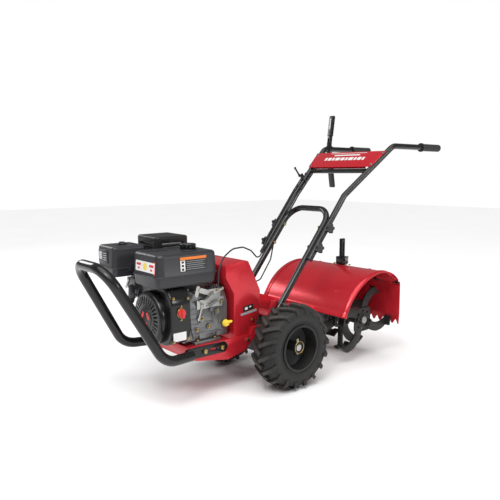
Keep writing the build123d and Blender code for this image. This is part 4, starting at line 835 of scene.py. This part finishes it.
@dataclass
class EngineSideDressing:
    """Linkages, springs, plates, pipes and screws that crowd the engine's left side."""

    site: Site

    def dress(self) -> None:
        """Build the engine side's dressing."""
        self._plates()
        self._linkage()
        self._pipes()
        self._castings()
        self._screws()

    def _plates(self) -> None:
        """Blank silver plate on the fan shroud and a yellow collar behind the switch."""
        bm = bmesh.new()
        plate(bm, self.site.face((118.0, -446, 262), (1, 0, 0), (0, 1, 0)), (0.052, 0.030, 0.0006), 0.002)
        new_piece("shroud_plate", bm, WHITE_VINYL, "chassis")
        collar = bmesh.new()
        add_ring(collar, self.site.at(119.5, -440, 344), Vector((1, 0, 0)), 0.0155, 0.0016, 36)
        for side in (-1, 1):
            hex_bolt(collar, self.site.at(118.2, -440, 344 + side * 23), Vector((1, 0, 0)), 0.003, 0.003)
        new_piece("switch_collar", collar, YELLOW_ZINC, "chassis")

    def _linkage(self) -> None:
        """Governor springs, throttle rod and the bright lever plate."""
        bm = bmesh.new()
        coil(bm, self.site.at(95, -286, 395), self.site.at(95, -322, 372), 0.0042, 0.0007, 12)
        coil(bm, self.site.at(96, -262, 362), self.site.at(96, -300, 350), 0.0035, 0.0006, 14)
        new_piece("governor_springs", bm, BARE_STEEL, "chassis")
        wire_piece("throttle_rod", [self.site.at(93, -330, 352), self.site.at(95, -352, 372),
                                    self.site.at(90, -372, 396), self.site.at(60, -392, 412)],
                   0.0013, BARE_STEEL, "chassis")
        shine = bmesh.new()
        place = self.site.face((89.5, -318, 398), (1, 0, 0), (0, 0.94, -0.34))
        plate(shine, place, (0.058, 0.018, 0.002), 0.008)
        plate(shine, self.site.face((87.5, -352, 402), (1, 0, 0), (0, 0.3, 1)), (0.040, 0.016, 0.002), 0.006)
        new_piece("linkage_plates", shine, ZINC, "chassis")

    def _pipes(self) -> None:
        """Fuel hose, ignition wires and hose clips."""
        wire_piece("fuel_hose", [self.site.at(70, -392, 430), self.site.at(84, -386, 412),
                                 self.site.at(88, -388, 372), self.site.at(88, -390, 330),
                                 self.site.at(84, -388, 286)], 0.0036, GRIP_RUBBER, "chassis")
        wire_piece("switch_wire", [self.site.at(117, -420, 330), self.site.at(112, -398, 318),
                                   self.site.at(98, -390, 300), self.site.at(94, -384, 262),
                                   self.site.at(96, -376, 236)],
                 0.0022, GRIP_RUBBER, "chassis")
        clips = bmesh.new()
        for z in (414, 290):
            centre = self.site.at(87 if z < 300 else 83, -388, z)
            add_ring(clips, centre, Vector((0.05, 0, 1)), 0.0046, 0.0010, 20)
        new_piece("hose_clips", clips, ZINC, "chassis")

    def _castings(self) -> None:
        """Bosses, webs and covers that stand out of the crankcase casting."""
        bm = bmesh.new()
        left = Vector((1, 0, 0))
        for y, z, radius, reach in ((-330, 300, 15, 9), (-300, 268, 11, 8), (-262, 318, 13, 8),
                                    (-352, 262, 9, 7), (-244, 352, 10, 7), (-290, 330, 8, 10)):
            foot = self.site.at(79.5, y, z)
            cylinder(bm, foot, foot + left * reach * MM, radius * MM, 28, top=radius * MM * 0.9)
        ribs = ((-316, 284, 0.060, 0.006), (-280, 300, 0.006, 0.050),
                (-345, 320, 0.006, 0.060), (-252, 290, 0.006, 0.044),
                (-296, 244, 0.100, 0.006), (-300, 354, 0.090, 0.006))
        for y, z, wide, high in ribs:
            slab(bm, self.site.face((81, y, z), (1, 0, 0), (0, 1, 0)), (wide, high, 0.008), 0.0018)
        for step in range(5):
            slab(bm, self.site.face((66, -246 - step * 11, 398 + 2), (0.7, 0, 0.7), (0, 1, 0)),
                 (0.005, 0.030, 0.010), 0.0015)
        new_piece("crankcase_bosses", bm, CAST_ALLOY, "chassis")

    def _screws(self) -> None:
        """Plated screws on the case, the shroud and the bracket."""
        bm = bmesh.new()
        left = Vector((1, 0, 0))
        for x, y, z in ((88.5, -330, 300), (87.5, -300, 268), (87.5, -262, 318), (86.5, -352, 262),
                        (86.5, -244, 352), (86.5, -296, 392), (86.5, -262, 396)):
            hex_bolt(bm, self.site.at(x, y, z), left, 0.0042, 0.004)
        for y, z in ((-470, 246), (-412, 392), (-412, 250), (-470, 398)):
            hex_bolt(bm, self.site.at(117.8, y, z), left, 0.0035, 0.0035)
        new_piece("engine_screws", bm, YELLOW_ZINC, "chassis")


@dataclass
class SparkPlugDressing:
    """Plug, rubber boot and lead on the cylinder head."""

    site: Site
    tilt: float = 25.0

    def dress(self) -> None:
        """Build the plug, its boot and the lead."""
        out = Vector((-cos(radians(self.tilt)), 0, sin(radians(self.tilt))))
        head = self.site.at(0, -306, 315) + out * 0.196
        plug = bmesh.new()
        cylinder(plug, head, head + out * 0.010, 0.0095, 6)
        cylinder(plug, head + out * 0.010, head + out * 0.018, 0.006, 20)
        new_piece("spark_plug", plug, ZINC, "chassis")
        boot = bmesh.new()
        cylinder(boot, head + out * 0.014, head + out * 0.040, 0.0095, 24, top=0.008)
        dome(boot, head + out * 0.040, out, 0.0082, 0.0082)
        new_piece("plug_boot", boot, GRIP_RUBBER, "chassis")
        tip = head + out * 0.040
        wire_piece("plug_lead", [tip, tip + out * 0.014, tip + Vector((-0.004, -0.030, 0.022)),
                                 tip + Vector((0.030, -0.075, 0.012)), self.site.at(-112, -398, 398),
                                 self.site.at(-96, -408, 392)], 0.0034, GRIP_RUBBER, "chassis")


@dataclass
class BeltCoverDressing:
    """Patches and bolts on the belt housing."""

    site: Site
    half: float = 99.8

    def dress(self) -> None:
        """Build the belt housing's dressing."""
        patches = ((BLACK_VINYL, (0, 0.012), (0.052, 0.022), 0.0004, 0.002),
                   (WHITE_VINYL, (-0.010, 0.012), (0.014, 0.010), 0.0006, 0.002),
                   (WHITE_VINYL, (0.010, 0.014), (0.010, 0.005), 0.0006, 0.001),
                   (GREY_VINYL, (0, -0.006), (0.078, 0.009), 0.0005, 0.002))
        for side in (1, -1):
            place = self.site.face((side * self.half, -124, 300), (side, 0, 0), (0, side, 0.12 * side))
            TankDressing._stack(f"cover_patch_{'left' if side > 0 else 'right'}", place, patches)
        bm = bmesh.new()
        for side in (1, -1):
            for y, z in ((-104, 262), (-178, 178)):
                hex_bolt(bm, self.site.at(side * self.half, y, z), Vector((side, 0, 0)), 0.0045, 0.0045)
        new_piece("cover_bolts", bm, YELLOW_ZINC, "chassis")


@dataclass
class WheelDressing:
    """Snap ring, hub pin, valve, hub bolts and sidewall rings of one wheel.

    Attributes:
        site: measure of the machine.
        side: +1 for the machine's left wheel, -1 for its right one.
        middle_x: middle plane of the tyre.
        half: half the tyre's width, not used.
    """

    site: Site
    side: int
    middle_x: float = 205.0
    half: float = 60.0

    def dress(self) -> None:
        """Build one wheel's dressing."""
        word = "left" if self.side > 0 else "right"
        out = Vector((self.side, 0, 0))
        axle = self.site.at(0, 0, 165)
        rubber = bmesh.new()
        for radius, reach, wire in ((0.098, 52.5, 0.0022), (0.104, 54.5, 0.0012), (0.137, 54.0, 0.0016)):
            for face in (1, -1):
                add_ring(rubber, axle + out * ((self.middle_x + face * reach) * MM), out, radius, wire, 72)
        new_piece(f"{word}_sidewall_rings", rubber, TREAD_RUBBER, "wheels")
        brass = bmesh.new()
        pin = axle + out * ((self.middle_x + 34) * MM)
        add_ring(brass, pin + Vector((0, 0, 0.002)) + out * 0.012, out, 0.0225, 0.0015, 40)
        cylinder(brass, pin + Vector((0, 0, 0.019)), pin + Vector((0, 0, 0.033)), 0.0065, 20)
        dome(brass, pin + Vector((0, 0, 0.033)), Vector((0, 0, 1)), 0.0065, 0.003)
        new_piece(f"{word}_hub_ring", brass, YELLOW_ZINC, "wheels")
        steel = bmesh.new()
        for turn in range(5):
            angle = radians(72 * turn + 18)
            spoke = Vector((0, cos(angle) * 0.056, sin(angle) * 0.056))
            foot = axle + out * ((self.middle_x - 14) * MM) + spoke
            hex_bolt(steel, foot, out, 0.0052, 0.005)
        new_piece(f"{word}_hub_bolts", steel, SATIN_BLACK, "wheels")
        stem = bmesh.new()
        foot = axle + out * ((self.middle_x + 2) * MM) + Vector((0, -0.050, -0.058))
        cylinder(stem, foot, foot + out * 0.026, 0.0042, 16, top=0.0034)
        cylinder(stem, foot + out * 0.026, foot + out * 0.034, 0.0044, 12)
        new_piece(f"{word}_valve", stem, GRIP_RUBBER, "wheels")


@dataclass
class TineDressing:
    """Bolt heads and nuts that hold the blades to their flanges."""

    site: Site
    flanges: tuple[float, float] = (72.0, 186.0)

    def dress(self) -> None:
        """Build the flange bolts of both sides."""
        for side in (1, -1):
            bm = bmesh.new()
            for flange in self.flanges:
                for number in range(4):
                    turn = radians(number * 90 + 20 + (45 if flange == self.flanges[1] else 0))
                    lean = 1 if number % 2 else -1
                    for step in (-9, 9):
                        spot = self.site.at(side * flange + lean * 10.0, 450, 188)
                        spot += Vector((0, cos(turn), sin(turn))) * 0.042
                        spot += Vector((0, -sin(turn), cos(turn))) * step * MM
                        hex_bolt(bm, spot, Vector((lean, 0, 0)), 0.0055, 0.0055)
            word = "left" if side > 0 else "right"
            new_piece(f"{word}_tine_bolts", bm, SATIN_BLACK, "tine_rotor")


@dataclass
class HoodDressing:
    """Carriage bolts and rolled edges of the tine hood."""

    site: Site

    def dress(self) -> None:
        """Build the hood's bolts."""
        bm = bmesh.new()
        for x in (-150, 150):
            for y, z, lean in ((322, 325.5, 40), (540, 395.5, -14)):
                normal = Vector((0, -sin(radians(lean)), cos(radians(lean))))
                dome(bm, self.site.at(x, y, z), normal, 0.009, 0.004)
        new_piece("hood_bolts", bm, RED_PAINT, "chassis")
        steel = bmesh.new()
        for x in (-34, 34):
            for y, z in ((512, 403.5), (538, 400.5)):
                hex_bolt(steel, self.site.at(x, y, z), Vector((0, 0.1, 1)), 0.0042, 0.004)
        new_piece("stake_bolts", steel, YELLOW_ZINC, "chassis")
        lip = bmesh.new()
        face = self.site.face((0, 610.2, 346.6), (0, 0.85, 0.53), (1, 0, 0))
        slab(lip, face, (0.508, 0.013, 0.0014), 0.0004)
        new_piece("hood_lip", lip, RED_PAINT, "chassis")


@dataclass
class HandleDressing:
    """Painted bars, screws, ties and end caps of the handlebar.

    Attributes:
        site: measure of the machine.
        bend: place and height where the upper tubes bend.
        top: place and height where they level out.
        bar_r: radius of the tubes.
    """

    site: Site
    bend: tuple[float, float] = (360.0, 727.0)
    top: tuple[float, float] = (612.0, 938.0)
    bar_r: float = 12.5
    low_x: float = 146.3
    top_x: float = 200.0

    @property
    def slope(self) -> Vector:
        """Direction of the upper tubes' slope in the machine's middle plane."""
        return Vector((0, self.top[0] - self.bend[0], self.top[1] - self.bend[1])).normalized()

    @property
    def normal(self) -> Vector:
        """Direction square to the slope, up and forwards."""
        return Vector((0, -self.slope.z, self.slope.y))

    def on_slope(self, x: float, along: float, rise: float) -> Vector:
        """Point over the sloping tubes, in metres.

        Args:
            x: sideways place in millimetres.
            along: distance up the slope from the bend.
            rise: height over the tubes' middle lines.

        Returns:
            The point in metres.
        """
        return self.site.at(x, *self.bend) + (self.slope * along + self.normal * rise) * MM

    def dress(self) -> None:
        """Build the handlebar's dressing."""
        self._panel_bars()
        self._screws()
        self._ties()
        self._caps()

    def _panel_bars(self) -> None:
        """Row of slanted white bars over a thin white stripe on the red panel."""
        bm = bmesh.new()
        start = self.on_slope(0, 172 + 62, self.bar_r + 3.2)
        place = frame_matrix(start, self.normal, Vector((-1, 0, 0)))
        widths = (13, 20, 13, 26, 13, 20, 26, 13, 20, 13)
        left = -sum(widths) / 2 - 4.5 * 6
        for width in widths:
            spot = Matrix.Translation(((left + width / 2) * MM, 0.006, 0))
            left += width + 6
            plate(bm, place @ spot, (width * MM, 0.020, 0.0005), 0.003)
        plate(bm, place @ Matrix.Translation((0, -0.020, 0)), (0.150, 0.0075, 0.0005), 0.003)
        plate(bm, place @ Matrix.Translation((0, -0.034, 0)), (0.210, 0.0025, 0.0005), 0.001)
        new_piece("panel_bars", bm, WHITE_VINYL, "chassis")

    def _screws(self) -> None:
        """Four plated screws that hold the panel to the tubes."""
        bm = bmesh.new()
        for side in (1, -1):
            for along in (186, 264):
                x = side * (self.low_x + (self.top_x - self.low_x) * along / 328.7)
                hex_bolt(bm, self.on_slope(x, along, self.bar_r + 3.1), self.normal, 0.0042, 0.004)
        new_piece("panel_screws", bm, ZINC, "chassis")

    def _ties(self) -> None:
        """Black ties that hold the cables to the right tube."""
        bm = bmesh.new()
        for along in (40, 128):
            x = -(self.low_x + (self.top_x - self.low_x) * along / 328.7)
            for step in (-1.3, 0, 1.3):
                add_ring(bm, self.on_slope(x, along + step, 0), self.slope, 0.0136, 0.0011, 40)
            slab(bm, frame_matrix(self.on_slope(x, along, self.bar_r + 3), self.slope, Vector((1, 0, 0))),
                 (0.007, 0.006, 0.005), 0.001)
        new_piece("cable_ties", bm, BLACK_PLASTIC, "chassis")

    def _caps(self) -> None:
        """Domed plastic plugs in the tubes' lower ends."""
        bm = bmesh.new()
        run = Vector((0, 314, 669 - 276)).normalized()
        for side in (1, -1):
            end = self.site.at(side * 144.3, 158, 276 + 158 * (669 - 276) / 314)
            dome(bm, end, run, 0.0118, 0.004)
        new_piece("tube_plugs", bm, BLACK_PLASTIC, "chassis")


@dataclass
class LeverDressing:
    """Rubber rings and a pale strip on the sleeve of one hand lever.

    Attributes:
        site: measure of the machine.
        name: word for the lever's pieces.
        body: body that it moves with.
        pivot: pin's place.
        lean: lever's direction in degrees, from backwards towards up.
        reach: lever's length.
        strip: whether it carries the pale strip.
    """

    site: Site
    name: str
    body: str
    pivot: tuple[float, float, float]
    lean: float
    reach: float
    strip: bool

    def dress(self) -> None:
        """Build the sleeve's rings and the strip."""
        along = Vector((0, cos(radians(self.lean)), sin(radians(self.lean))))
        start = self.site.at(*self.pivot)
        bm = bmesh.new()
        for share in (0.42, 0.95):
            add_ring(bm, start + along * self.reach * share * MM, along, 0.0088, 0.0016, 28)
        new_piece(f"{self.name}_rings", bm, GRIP_RUBBER, self.body)
        if not self.strip:
            return
        forward = Vector((0, -along.z, along.y))
        pale = bmesh.new()
        for step in range(5):
            spot = start + along * (self.reach * 0.55 + step * 10) * MM
            place = frame_matrix(spot + forward * 0.0092, forward, along)
            plate(pale, place, (0.0075, 0.007, 0.0005), 0.002)
            side = frame_matrix(spot + Vector((0.0092, 0, 0)), Vector((1, 0, 0)), along)
            plate(pale, side, (0.0075, 0.007, 0.0005), 0.002)
        new_piece(f"{self.name}_strip", pale, WHITE_VINYL, self.body)


@dataclass
class StarterRope:
    """The cord between the recoil cover and its grip."""

    site: Site
    rise: float = 5.0

    def build(self) -> None:
        """Build the rope as a round bar with two cuts along it."""
        out = Vector((-cos(radians(self.rise)), 0, sin(radians(self.rise))))
        far = self.site.at(-101, -494, 375.2)
        near = far - out * 0.044
        bm = bmesh.new()
        cylinder(bm, near, far + out * 0.004, 0.0021, 14)
        bmesh.ops.bisect_plane(bm, geom=bm.verts[:] + bm.edges[:] + bm.faces[:], plane_co=near + out * 0.020,
                               plane_no=out)
        bmesh.ops.bisect_plane(bm, geom=bm.verts[:] + bm.edges[:] + bm.faces[:], plane_co=near + out * 0.030,
                               plane_no=out)
        mesh = bpy.data.meshes.new("starter_rope")
        bm.to_mesh(mesh)
        bm.free()
        mesh.shade_smooth()
        rope = bpy.data.objects.new("starter_rope", mesh)
        bpy.context.scene.collection.objects.link(rope)
        mesh.materials.append(GREY_VINYL.material())
        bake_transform(rope)


def middle(node: str) -> Vector:
    """Middle of a CAD node's box, in metres."""
    low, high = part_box(node)
    return (Vector(low) + Vector(high)) / 2


def main() -> None:
    """Build the whole scene in order."""
    logging.basicConfig(level=logging.INFO, format="%(message)s")
    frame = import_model()
    record = frame["record"]
    slots = {entry["node"]: entry["material_slot"] for entry in record["subparts"]}
    bodies = {node: body for body, members in record["behaviour"]["bodies"].items() for node in members}
    SoftenedNodes(frame["nodes"], slots, bodies).dress()
    axle_y = middle("wheel_axle").y
    Studio(axle_y).build()
    site = Site(axle_y)
    sets = [TankDressing(site), RecoilDressing(site), AirCleanerDressing(site), EngineSideDressing(site),
            SparkPlugDressing(site), BeltCoverDressing(site), WheelDressing(site, 1), WheelDressing(site, -1),
            TineDressing(site), HoodDressing(site), HandleDressing(site),
            LeverDressing(site, "clutch", "clutch", (-200.5, 645, 965), 82, 137, True),
            LeverDressing(site, "reverse", "reverse", (-200.5, 645, 911), -80, 162, False)]
    for dressing in sets:
        dressing.dress()
        LOG.info("%s done", type(dressing).__name__)
    StarterRope(site).build()
    LOG.info("starter rope done")


if __name__ == "__main__":
    main()
